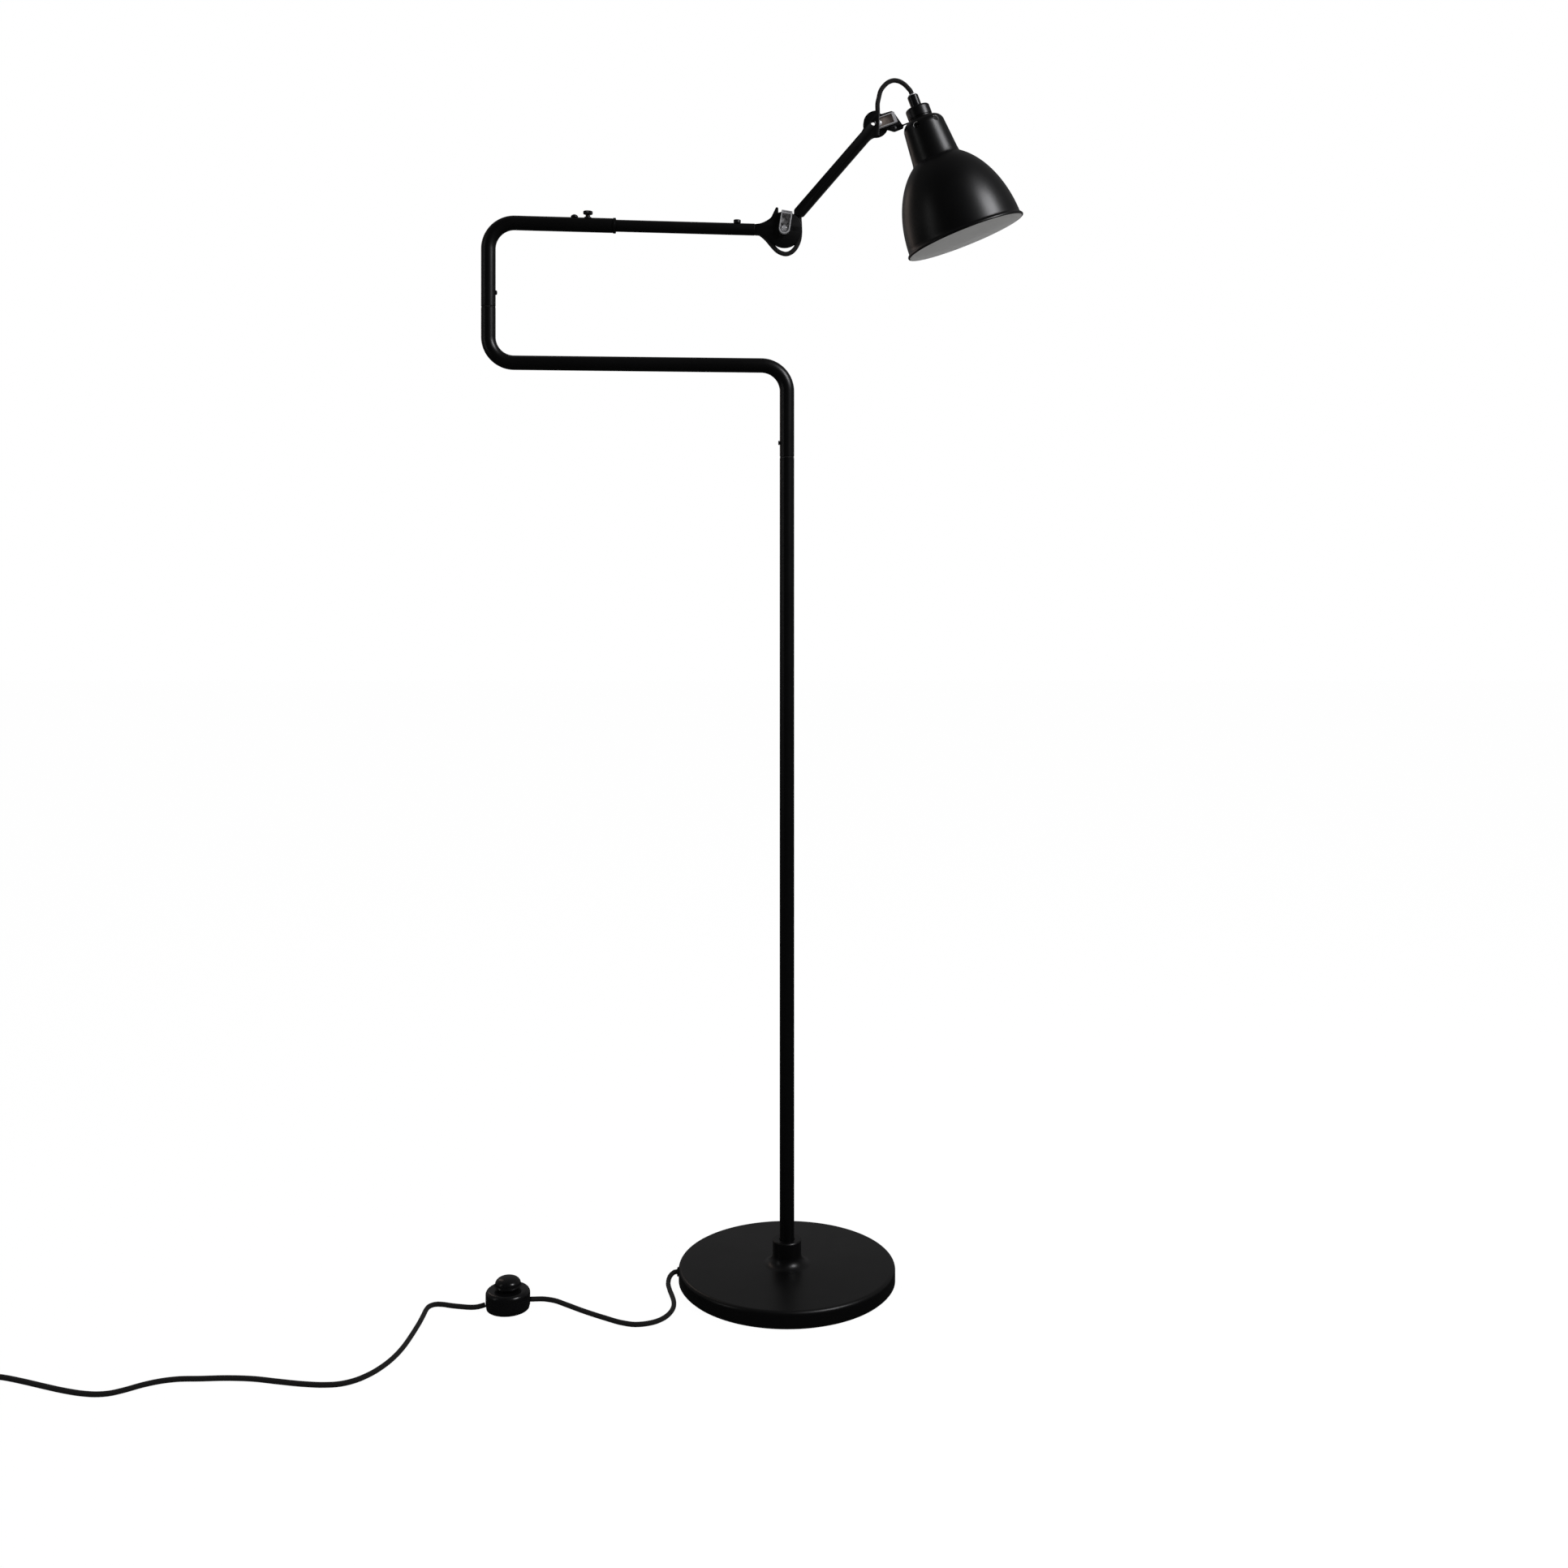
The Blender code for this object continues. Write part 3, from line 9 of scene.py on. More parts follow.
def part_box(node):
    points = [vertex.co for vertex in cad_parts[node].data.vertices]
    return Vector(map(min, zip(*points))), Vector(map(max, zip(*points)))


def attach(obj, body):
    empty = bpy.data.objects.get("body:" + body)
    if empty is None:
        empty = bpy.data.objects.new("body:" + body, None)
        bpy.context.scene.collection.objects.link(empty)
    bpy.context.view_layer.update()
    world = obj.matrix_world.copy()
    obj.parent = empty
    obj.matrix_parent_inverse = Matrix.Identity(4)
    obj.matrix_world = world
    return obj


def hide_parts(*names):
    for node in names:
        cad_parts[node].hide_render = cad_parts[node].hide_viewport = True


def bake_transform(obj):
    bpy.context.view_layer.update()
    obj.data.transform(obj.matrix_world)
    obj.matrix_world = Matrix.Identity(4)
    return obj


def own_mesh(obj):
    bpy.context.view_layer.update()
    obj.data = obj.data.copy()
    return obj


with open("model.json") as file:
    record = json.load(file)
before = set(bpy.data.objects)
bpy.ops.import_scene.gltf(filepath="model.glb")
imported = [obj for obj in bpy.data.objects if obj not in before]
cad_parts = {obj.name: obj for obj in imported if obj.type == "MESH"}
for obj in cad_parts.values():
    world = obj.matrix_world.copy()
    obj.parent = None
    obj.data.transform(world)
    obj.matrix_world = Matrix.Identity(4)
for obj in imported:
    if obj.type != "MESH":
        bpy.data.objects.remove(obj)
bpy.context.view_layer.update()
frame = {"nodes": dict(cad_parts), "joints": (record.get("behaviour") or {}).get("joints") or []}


# ---------------------------------------------------------------- studio
# A pale seamless floor, soft light and the camera that looks straight at the lamp from the front.
# The stage is bright to the eye and for soft light, but dim in the gloss of the black paint.

studio = bpy.context.scene
studio.view_settings.view_transform = "Standard"

CAMERA_AT = (-0.0034, -1.929, 0.8424)
FOCAL_LENGTH = 38.29
SENSOR_WIDTH = 36.0
SHIFT_UP = -0.148
FARTHEST_SEEN = 60.0
lens = bpy.data.cameras.new("camera")
lens.lens = FOCAL_LENGTH
lens.sensor_width = SENSOR_WIDTH
lens.shift_y = SHIFT_UP
lens.clip_end = FARTHEST_SEEN
camera = bpy.data.objects.new("camera", lens)
camera.location = CAMERA_AT
camera.rotation_euler = (math.pi / 2, 0, 0)
studio.collection.objects.link(camera)
studio.camera = camera


def feed(tree, socket, source):
    """A socket takes a link from another node, or a plain value."""
    if isinstance(source, bpy.types.NodeSocket):
        tree.links.new(source, socket)
    else:
        socket.default_value = source


def wire(tree, kind, *sources, **settings):
    """A new node whose first inputs are sockets or plain values; returns its first output."""
    node = tree.nodes.new(kind)
    for key, value in settings.items():
        setattr(node, key, value)
    for socket, source in zip(node.inputs, sources):
        feed(tree, socket, source)
    return node.outputs[0]


def sums(tree, operation, *sources):
    """One step of arithmetic on values."""
    return wire(tree, "ShaderNodeMath", *sources, operation=operation)


def stretch(tree, source, low, high, to_low, to_high):
    """A value taken from one range to another."""
    return wire(tree, "ShaderNodeMapRange", source, low, high, to_low, to_high)


WHITE = (1.0, 1.0, 1.0, 1.0)
SKY_SEEN = 1.0
SKY_SOFT = 0.26
SKY_GLOSS_FRONT = 0.018
SKY_GLOSS_BACK = 0.125
sky = bpy.data.worlds.new("studio_sky")
studio.world = sky
sky.use_nodes = True
sky_tree = sky.node_tree
sky_tree.nodes.clear()
ray = sky_tree.nodes.new("ShaderNodeLightPath").outputs
direction = sky_tree.nodes.new("ShaderNodeSeparateXYZ")
sky_tree.links.new(sky_tree.nodes.new("ShaderNodeTexCoord").outputs["Generated"], direction.inputs[0])
dim = stretch(sky_tree, direction.outputs["Y"], -0.5, 0.7, SKY_GLOSS_FRONT, SKY_GLOSS_BACK)
gloss = wire(sky_tree, "ShaderNodeBackground", (1.0, 0.99, 1.0, 1.0), dim)
soft = wire(sky_tree, "ShaderNodeBackground", WHITE, SKY_SOFT)
seen = wire(sky_tree, "ShaderNodeBackground", WHITE, SKY_SEEN)
unseen = wire(sky_tree, "ShaderNodeMixShader", ray["Is Glossy Ray"], soft, gloss)
sky_light = wire(sky_tree, "ShaderNodeMixShader", ray["Is Camera Ray"], unseen, seen)
sky_tree.links.new(sky_light, sky_tree.nodes.new("ShaderNodeOutputWorld").inputs["Surface"])

floor_paper = bpy.data.materials.new("floor_paper")
floor_paper.use_nodes = True
paper_tree = floor_paper.node_tree
paper_tree.nodes.clear()
PAPER_WHITE = (0.86, 0.86, 0.86, 1.0)
PAPER_GLOW = 1.05
PAPER_GLOW_SHARE = 0.93
PAPER_GLOSS = 0.02
ray = paper_tree.nodes.new("ShaderNodeLightPath").outputs
paper = wire(paper_tree, "ShaderNodeBsdfDiffuse", PAPER_WHITE)
glow = wire(paper_tree, "ShaderNodeEmission", WHITE, PAPER_GLOW)
faint = wire(paper_tree, "ShaderNodeEmission", WHITE, PAPER_GLOSS)
unseen = wire(paper_tree, "ShaderNodeMixShader", ray["Is Glossy Ray"], paper, faint)
to_eye = sums(paper_tree, "MULTIPLY", ray["Is Camera Ray"], PAPER_GLOW_SHARE)
paper_light = wire(paper_tree, "ShaderNodeMixShader", to_eye, unseen, glow)
paper_tree.links.new(paper_light, paper_tree.nodes.new("ShaderNodeOutputMaterial").inputs["Surface"])
FLOOR_HALF = 9.0
floor_mesh = bpy.data.meshes.new("floor")
floor_mesh.from_pydata([(x * FLOOR_HALF, y * FLOOR_HALF, 0.0) for x, y in ((-1, -1), (1, -1), (1, 1), (-1, 1))],
                       [], [(0, 1, 2, 3)])
floor_mesh.materials.append(floor_paper)
floor = bpy.data.objects.new("floor", floor_mesh)
studio.collection.objects.link(floor)


def soft_box(name, place, aim, width, height, watts, tint):
    """A flat lamp of that size, turned to face a point."""
    light = bpy.data.lights.new(name, "AREA")
    light.shape = "RECTANGLE"
    light.size = width
    light.size_y = height
    light.energy = watts
    light.color = tint
    box = bpy.data.objects.new(name, light)
    box.location = place
    box.rotation_euler = (Vector(aim) - Vector(place)).to_track_quat("-Z", "Y").to_euler()
    studio.collection.objects.link(box)


soft_box("key_right", place=(1.52, -0.95, 2.22), aim=(0.2, 0.0, 1.27), width=0.8, height=0.9, watts=24.0,
         tint=(0.97, 0.97, 1.0))
soft_box("fill_left", place=(-2.2, -0.9, 1.3), aim=(-0.1, 0.0, 0.9), width=0.25, height=1.6, watts=1.6,
         tint=(1.0, 1.0, 1.0))
soft_box("rim_left", place=(-1.5, 1.6, 1.6), aim=(0.1, 0.0, 1.2), width=0.4, height=1.2, watts=1.5,
         tint=(1.0, 0.80, 0.70))


# ---------------------------------------------------------------- mains cord
# Black textile-braided lead, 5.4 mm across, from the bush in the base to the foot switch and on to the
# plug. What lies outside the view is wound in a small coil with a rubber tie.

TAU = math.tau
CORD_RADIUS = 0.0027
CORD_STEP = 0.004
STRANDS = 12


def shader_group(name, inputs, outputs):
    """An empty group of nodes with named sockets; returns the group and its two ends."""
    group = bpy.data.node_groups.new(name, "ShaderNodeTree")
    for label, kind, value in inputs:
        socket = group.interface.new_socket(label, in_out="INPUT", socket_type=kind)
        socket.default_value = value
    for label, kind in outputs:
        group.interface.new_socket(label, in_out="OUTPUT", socket_type=kind)
    return group, group.nodes.new("NodeGroupInput"), group.nodes.new("NodeGroupOutput")


def blended(tree, share, first, second):
    """A mix of two colours."""
    node = tree.nodes.new("ShaderNodeMix")
    node.data_type = "RGBA"
    for number, source in ((0, share), (6, first), (7, second)):
        feed(tree, node.inputs[number], source)
    return node.outputs[2]


def speckle(tree, place, scale, detail=2.0, rough=0.5):
    """A cloud of noise over the piece, from 0 to 1."""
    node = tree.nodes.new("ShaderNodeTexNoise")
    tree.links.new(place, node.inputs["Vector"])
    for label, source in (("Scale", scale), ("Detail", detail), ("Roughness", rough)):
        feed(tree, node.inputs[label], source)
    return node.outputs["Fac"]


def new_finish(name, group, values, bump=0.0, **plain):
    """A material whose colour, roughness and surface come from one of the lamp's own node groups."""
    material = bpy.data.materials.new(name)
    material.use_nodes = True
    tree = material.node_tree
    shader = tree.nodes["Principled BSDF"]
    coat = tree.nodes.new("ShaderNodeGroup")
    coat.node_tree = group
    for label, value in values.items():
        coat.inputs[label].default_value = value
    tree.links.new(coat.outputs["Color"], shader.inputs["Base Color"])
    tree.links.new(coat.outputs["Roughness"], shader.inputs["Roughness"])
    relief = tree.nodes.new("ShaderNodeBump")
    relief.inputs["Strength"].default_value = 1.0
    relief.inputs["Distance"].default_value = bump
    tree.links.new(coat.outputs["Height"], relief.inputs["Height"])
    tree.links.new(relief.outputs[0], shader.inputs["Normal"])
    for label, value in plain.items():
        shader.inputs[label.replace("_", " ")].default_value = value
    return material


def make_braid():
    """Two sets of threads wound both ways round the lead, over and under by turns."""
    tree, source, result = shader_group(
        "braid", (("Thread", "NodeSocketColor", (0.02, 0.02, 0.02, 1.0)),
                  ("Shadow", "NodeSocketColor", (0.002, 0.002, 0.002, 1.0)),
                  ("Strands", "NodeSocketFloat", 6.0), ("Pitch", "NodeSocketFloat", 300.0)),
        (("Color", "NodeSocketColor"), ("Roughness", "NodeSocketFloat"), ("Height", "NodeSocketFloat")))
    uv = tree.nodes.new("ShaderNodeUVMap")
    uv.uv_map = "round_and_along"
    split = tree.nodes.new("ShaderNodeSeparateXYZ")
    tree.links.new(uv.outputs[0], split.inputs[0])
    around = sums(tree, "MULTIPLY", split.outputs[0], source.outputs["Strands"])
    along = sums(tree, "MULTIPLY", split.outputs[1], source.outputs["Pitch"])
    right = sums(tree, "ADD", around, along)
    left = sums(tree, "SUBTRACT", around, along)
    ridges = [sums(tree, "ABSOLUTE", sums(tree, "SINE", sums(tree, "MULTIPLY", lay, math.pi)))
              for lay in (right, left)]
    parity = sums(tree, "ADD", sums(tree, "FLOOR", right), sums(tree, "FLOOR", left))
    turn = sums(tree, "PINGPONG", parity, 1.0)
    over = sums(tree, "MULTIPLY", ridges[0], sums(tree, "MULTIPLY_ADD", turn, 0.5, 0.5))
    under = sums(tree, "MULTIPLY", ridges[1], sums(tree, "MULTIPLY_ADD", turn, -0.5, 1.0))
    height = sums(tree, "MAXIMUM", over, under)
    place = tree.nodes.new("ShaderNodeTexCoord").outputs["Object"]
    fuzz = speckle(tree, place, 2600.0, 3.0, 0.6)
    level = sums(tree, "MULTIPLY_ADD", fuzz, 0.35, height)
    tree.links.new(level, result.inputs["Height"])
    tree.links.new(blended(tree, level, source.outputs["Shadow"], source.outputs["Thread"]), result.inputs["Color"])
    tree.links.new(stretch(tree, fuzz, 0.3, 0.7, 0.72, 0.95), result.inputs["Roughness"])
    return tree


TEXTILE = new_finish("black_textile", make_braid(),
                     {"Thread": (0.0125, 0.0115, 0.011, 1.0), "Shadow": (0.0016, 0.0015, 0.0015, 1.0),
                      "Strands": STRANDS / 2, "Pitch": 330.0},
                     bump=0.00018, Sheen_Weight=0.10, Specular_IOR_Level=0.35)


def smooth_route(route, spacing):
    """Evenly spaced points on one smooth curve through the route's points."""
    knots = [Vector(point) for point in route]
    gaps = [(b - a).length for a, b in zip(knots, knots[1:])]
    slopes = [(knots[1] - knots[0]) / gaps[0]]
    for i in range(1, len(knots) - 1):
        before = (knots[i] - knots[i - 1]) / gaps[i - 1]
        after = (knots[i + 1] - knots[i]) / gaps[i]
        slopes.append((before * gaps[i] + after * gaps[i - 1]) / (gaps[i] + gaps[i - 1]))
    slopes.append((knots[-1] - knots[-2]) / gaps[-1])
    dense, parts = [knots[0]], 12
    for i, gap in enumerate(gaps):
        for j in range(1, parts + 1):
            t = j / parts
            dense.append(knots[i] * (2 * t**3 - 3 * t**2 + 1) + slopes[i] * gap * (t**3 - 2 * t**2 + t)
                         + knots[i + 1] * (3 * t**2 - 2 * t**3) + slopes[i + 1] * gap * (t**3 - t**2))
    lengths = [0.0]
    for a, b in zip(dense, dense[1:]):
        lengths.append(lengths[-1] + (b - a).length)
    count = max(2, round(lengths[-1] / spacing))
    points, index = [], 0
    for k in range(count + 1):
        target = lengths[-1] * k / count
        while index < len(lengths) - 2 and lengths[index + 1] < target:
            index += 1
        share = (target - lengths[index]) / (lengths[index + 1] - lengths[index])
        points.append(dense[index].lerp(dense[index + 1], share))
    return points


def new_piece(name, points, faces, finishes, sharp=30.0, inlay=()):
    """A piece from its points and faces; inlay lists the faces in the second finish."""
    mesh = bpy.data.meshes.new(name)
    mesh.from_pydata([tuple(point) for point in points], [], faces)
    for finish in finishes:
        mesh.materials.append(finish)
    for number in inlay:
        mesh.polygons[number].material_index = 1
    shape = bmesh.new()
    shape.from_mesh(mesh)
    bmesh.ops.recalc_face_normals(shape, faces=shape.faces)
    shape.to_mesh(mesh)
    shape.free()
    mesh.polygons.foreach_set("use_smooth", [True] * len(mesh.polygons))
    mesh.set_sharp_from_angle(angle=math.radians(sharp))
    piece = bpy.data.objects.new("lamp_" + name, mesh)
    studio.collection.objects.link(piece)
    return piece


def fit(piece, body, slot, *solids):
    """The piece rides on its body and stands for its solids in the frame; the slot is not used."""
    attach(piece, body)
    if solids:
        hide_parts(*solids)
    return piece


def round_bar(name, path, radii, finish, around=20, sharp=40.0):
    """A round bar, lead or tube along a path; radii is one value, or one for each point of the path."""
    if not isinstance(radii, (list, tuple)):
        radii = [radii] * len(path)
    ahead = [(path[min(i + 1, len(path) - 1)] - path[max(i - 1, 0)]) for i in range(len(path))]
    ahead = [a.normalized() for a in ahead]
    side = ahead[0].orthogonal().normalized()
    points, run, travelled = [], [], 0.0
    for i, centre in enumerate(path):
        side = (side - ahead[i] * side.dot(ahead[i])).normalized()
        other = ahead[i].cross(side)
        if i:
            travelled += (path[i] - path[i - 1]).length
        run.append(travelled)
        for j in range(around):
            angle = TAU * j / around
            points.append(centre + (side * math.cos(angle) + other * math.sin(angle)) * radii[i])
    faces, marks = [], []
    for i in range(len(path) - 1):
        for j in range(around):
            k = (j + 1) % around
            a, b = i * around, (i + 1) * around
            faces.append((a + j, a + k, b + k, b + j))
            marks.append([(j / around, run[i]), ((j + 1) / around, run[i]),
                          ((j + 1) / around, run[i + 1]), (j / around, run[i + 1])])
    last = (len(path) - 1) * around
    faces += [tuple(range(around))[::-1], tuple(range(last, last + around))]
    marks += [[(0.5, run[0])] * around, [(0.5, run[-1])] * around]
    piece = new_piece(name, points, faces, [finish], sharp)
    layer = piece.data.uv_layers.new(name="round_and_along")
    lookup = {frozenset(face): dict(zip(face, mark)) for face, mark in zip(faces, marks)}
    for polygon in piece.data.polygons:
        mark = lookup[frozenset(polygon.vertices)]
        for loop in polygon.loop_indices:
            layer.data[loop].uv = mark[piece.data.loops[loop].vertex_index]
    return piece


TO_SWITCH = [
    (-0.1225, 0.0000, 0.0098), (-0.1294, 0.0000, 0.0098), (-0.1344, -0.0052, 0.0076),
    (-0.1362, -0.0150, 0.0045), (-0.1338, -0.0300, 0.0029), (-0.1300, -0.0455, 0.0028),
    (-0.1270, -0.0600, 0.0028), (-0.1262, -0.0730, 0.0028), (-0.1285, -0.0870, 0.0028),
    (-0.1340, -0.0995, 0.0028), (-0.1425, -0.1090, 0.0028), (-0.1545, -0.1150, 0.0028),
    (-0.1665, -0.1165, 0.0028), (-0.1785, -0.1130, 0.0028), (-0.2010, -0.1002, 0.0028),
    (-0.2243, -0.0850, 0.0028), (-0.2482, -0.0673, 0.0028), (-0.2600, -0.0592, 0.0029),
    (-0.2717, -0.0566, 0.0036), (-0.2870, -0.0627, 0.0062),
]
TO_COIL = [
    (-0.3354, -0.0766, 0.0062), (-0.3430, -0.0775, 0.0044), (-0.3500, -0.0757, 0.0030),
    (-0.3620, -0.0738, 0.0028), (-0.3740, -0.0712, 0.0028), (-0.3850, -0.0680, 0.0028),
    (-0.3928, -0.0680, 0.0028), (-0.3980, -0.0725, 0.0028), (-0.3998, -0.0805, 0.0028),
    (-0.4000, -0.0930, 0.0028), (-0.4004, -0.1090, 0.0028), (-0.4013, -0.1250, 0.0028),
    (-0.4027, -0.1430, 0.0028), (-0.4050, -0.1650, 0.0028), (-0.4090, -0.1860, 0.0028),
    (-0.4160, -0.2070, 0.0028), (-0.4275, -0.2275, 0.0028), (-0.4390, -0.2395, 0.0028),
    (-0.4520, -0.2462, 0.0028), (-0.4680, -0.2480, 0.0028), (-0.4872, -0.2464, 0.0028),
    (-0.5149, -0.2413, 0.0028), (-0.5430, -0.2356, 0.0028), (-0.5700, -0.2340, 0.0028),
    (-0.5960, -0.2353, 0.0028), (-0.6200, -0.2364, 0.0028), (-0.6337, -0.2399, 0.0028),
    (-0.6500, -0.2480, 0.0028), (-0.6640, -0.2580, 0.0028), (-0.6762, -0.2648, 0.0028),
    (-0.6884, -0.2668, 0.0028), (-0.7018, -0.2655, 0.0028), (-0.7250, -0.2592, 0.0028),
    (-0.7500, -0.2500, 0.0028), (-0.7760, -0.2400, 0.0028), (-0.8000, -0.2325, 0.0030),
    (-0.8275, -0.2295, 0.0034),
]
COIL_MIDDLE = (-0.848, -0.262)
COIL_LAYERS = [(0.0327, 0.0035), (0.0273, 0.0035), (0.0273, 0.0089), (0.0327, 0.0089), (0.0327, 0.0089)]
COIL_TURNS = 4.25
COIL_STEPS = 48
LAYER_CHANGE = 0.2
TAIL = [(-0.8807, -0.2700, 0.0088), (-0.8807, -0.2800, 0.0080), (-0.8807, -0.2910, 0.0071),
        (-0.8807, -0.2960, 0.00705)]


def wound_coil():
    """The stored turns: two layers of two, each next turn reached over the last fifth of the one before."""
    points, last = [], len(COIL_LAYERS) - 1
    for i in range(1, round(COIL_TURNS * COIL_STEPS) + 1):
        turn = i / COIL_STEPS
        layer = min(int(turn), last)
        share = max(0.0, (turn - layer - (1 - LAYER_CHANGE)) / LAYER_CHANGE)
        share = share * share * (3 - 2 * share)
        here, after = COIL_LAYERS[layer], COIL_LAYERS[min(layer + 1, last)]
        radius = here[0] + (after[0] - here[0]) * share
        height = here[1] + (after[1] - here[1]) * share
        angle = math.pi / 2 + TAU * turn
        points.append((COIL_MIDDLE[0] + radius * math.cos(angle), COIL_MIDDLE[1] + radius * math.sin(angle),
                       height))
    return points


start_of_coil = (COIL_MIDDLE[0], COIL_MIDDLE[1] + COIL_LAYERS[0][0], COIL_LAYERS[0][1])
switch_path = smooth_route(TO_SWITCH, CORD_STEP)
coil_path = smooth_route(TO_COIL + [start_of_coil] + wound_coil() + TAIL, CORD_STEP)
cord_to_switch = round_bar("cord_to_switch", switch_path, CORD_RADIUS, TEXTILE)
fit(cord_to_switch, "stand", "textile", "cord_to_switch")
cord_to_plug = round_bar("cord_to_plug", coil_path, CORD_RADIUS, TEXTILE)
fit(cord_to_plug, "stand", "textile", "cord_to_coil", "cord_coil", "cord_tail")


# ---------------------------------------------------------------- base plate
# Heavy round plate with a turned hub, painted satin black all over, on a thin rubber pad. The zinc nipple,
# washer and nut under it pull the post down on its seat.

BASE_RADIUS = 0.125
BASE_TOP = 0.020
HUB_RADIUS = 0.0165
HUB_TOP = 0.048
HUB_FILLET = 0.012
RIM_ROUND = 0.0045
PAD_RADIUS = 0.122
GAP = 0.0003
TUBE_RADIUS = 0.0084
TUBE_BORE = 0.0072


def make_coat():
    """Paint or powder coat: a fine orange peel, slow changes of gloss, and sparse dust."""
    tree, source, result = shader_group(
        "sprayed_coat", (("Paint", "NodeSocketColor", (0.01, 0.01, 0.01, 1.0)),
                         ("Dust", "NodeSocketColor", (0.05, 0.05, 0.05, 1.0)),
                         ("Dust Amount", "NodeSocketFloat", 0.1),
                         ("Grain", "NodeSocketFloat", 900.0),
                         ("Low Gloss", "NodeSocketFloat", 0.45), ("High Gloss", "NodeSocketFloat", 0.32)),
        (("Color", "NodeSocketColor"), ("Roughness", "NodeSocketFloat"), ("Height", "NodeSocketFloat")))
    place = tree.nodes.new("ShaderNodeTexCoord").outputs["Object"]
    peel = speckle(tree, place, source.outputs["Grain"], 2.0, 0.5)
    cloud = speckle(tree, place, 22.0, 4.0, 0.6)
    grit = speckle(tree, place, 1500.0, 1.0, 0.5)
    specks = stretch(tree, grit, 0.68, 0.80, 0.0, 1.0)
    dust = sums(tree, "MULTIPLY", sums(tree, "MULTIPLY_ADD", specks, 0.7, sums(tree, "MULTIPLY", cloud, 0.3)),
                source.outputs["Dust Amount"])
    tree.links.new(blended(tree, dust, source.outputs["Paint"], source.outputs["Dust"]), result.inputs["Color"])
    tree.links.new(stretch(tree, cloud, 0.3, 0.7, source.outputs["High Gloss"], source.outputs["Low Gloss"]),
                   result.inputs["Roughness"])
    tree.links.new(peel, result.inputs["Height"])
    return tree


SPRAYED = make_coat()
BLACK_PAINT = new_finish("satin_black_paint", SPRAYED,
                         {"Paint": (0.0022, 0.0022, 0.0024, 1.0), "Dust": (0.020, 0.019, 0.019, 1.0),
                          "Dust Amount": 0.02, "Grain": 520.0, "Low Gloss": 0.37, "High Gloss": 0.31},
                         bump=0.0000035)
RUBBER = new_finish("black_rubber", SPRAYED,
                    {"Paint": (0.010, 0.010, 0.010, 1.0), "Dust": (0.05, 0.048, 0.045, 1.0),
                     "Dust Amount": 0.35, "Grain": 1800.0, "Low Gloss": 0.85, "High Gloss": 0.68}, bump=0.00006)


def make_metal():
    """Bare or plated metal: cloudy tarnish, which in the levers' troughs stands for painted shade and painted dark
    reflection, and fine scratches drawn along one way.
    """
    tree, source, result = shader_group(
        "worked_metal", (("Metal", "NodeSocketColor", (0.6, 0.6, 0.6, 1.0)),
                         ("Tarnish And Painted Shade", "NodeSocketColor", (0.2, 0.2, 0.2, 1.0)),
                         ("Tarnish And Painted Shade Amount", "NodeSocketFloat", 0.4),
                         ("Cloud", "NodeSocketFloat", 120.0),
                         ("Dull", "NodeSocketFloat", 0.40), ("Bright", "NodeSocketFloat", 0.20)),
        (("Color", "NodeSocketColor"), ("Roughness", "NodeSocketFloat"), ("Height", "NodeSocketFloat")))
    place = tree.nodes.new("ShaderNodeTexCoord").outputs["Object"]
    cloud = speckle(tree, place, source.outputs["Cloud"], 5.0, 0.65)
    drawn = tree.nodes.new("ShaderNodeMapping")
    drawn.inputs["Scale"].default_value = (4200.0, 900.0, 900.0)
    tree.links.new(place, drawn.inputs["Vector"])
    scratch = speckle(tree, drawn.outputs[0], 1.0, 3.0, 0.6)
    share = sums(tree, "MULTIPLY", stretch(tree, cloud, 0.38, 0.64, 0.0, 1.0), source.outputs["Tarnish And Painted Shade Amount"])
    tree.links.new(blended(tree, share, source.outputs["Metal"], source.outputs["Tarnish And Painted Shade"]), result.inputs["Color"])
    tree.links.new(stretch(tree, cloud, 0.35, 0.65, source.outputs["Bright"], source.outputs["Dull"]),
                   result.inputs["Roughness"])
    tree.links.new(sums(tree, "MULTIPLY_ADD", scratch, 0.5, cloud), result.inputs["Height"])
    return tree


WORKED = make_metal()
ZINC = new_finish("zinc_plate", WORKED, {"Metal": (0.55, 0.56, 0.57, 1.0), "Tarnish And Painted Shade": (0.30, 0.31, 0.33, 1.0),
                                         "Tarnish And Painted Shade Amount": 0.6, "Cloud": 260.0, "Dull": 0.48, "Bright": 0.30},
                  bump=0.00002, Metallic=1.0)


def ease(points, reach, closed=True, steps=3):
    """Every corner of an outline eased by a small curve that starts at most that far from it."""
    result, count = [], len(points)
    for i, corner in enumerate(points):
        corner = Vector(corner)
        if not closed and i in (0, count - 1):
            result.append(tuple(corner))
            continue
        back = Vector(points[i - 1]) - corner
        on = Vector(points[(i + 1) % count]) - corner
        cut = min(reach, 0.45 * back.length, 0.45 * on.length)
        if cut < 1e-7 or back.angle(on) > math.radians(170):
            result.append(tuple(corner))
            continue
        first, last = corner + back.normalized() * cut, corner + on.normalized() * cut
        for k in range(steps + 1):
            t = k / steps
            result.append(tuple(first * (1 - t)**2 + corner * 2 * t * (1 - t) + last * t * t))
    return result


def arc(centre, radius, start, end, steps):
    """Points on an arc, angles in degrees, both ends included."""
    angles = [math.radians(start + (end - start) * i / steps) for i in range(steps + 1)]
    return [(centre[0] + radius * math.cos(a), centre[1] + radius * math.sin(a)) for a in angles]


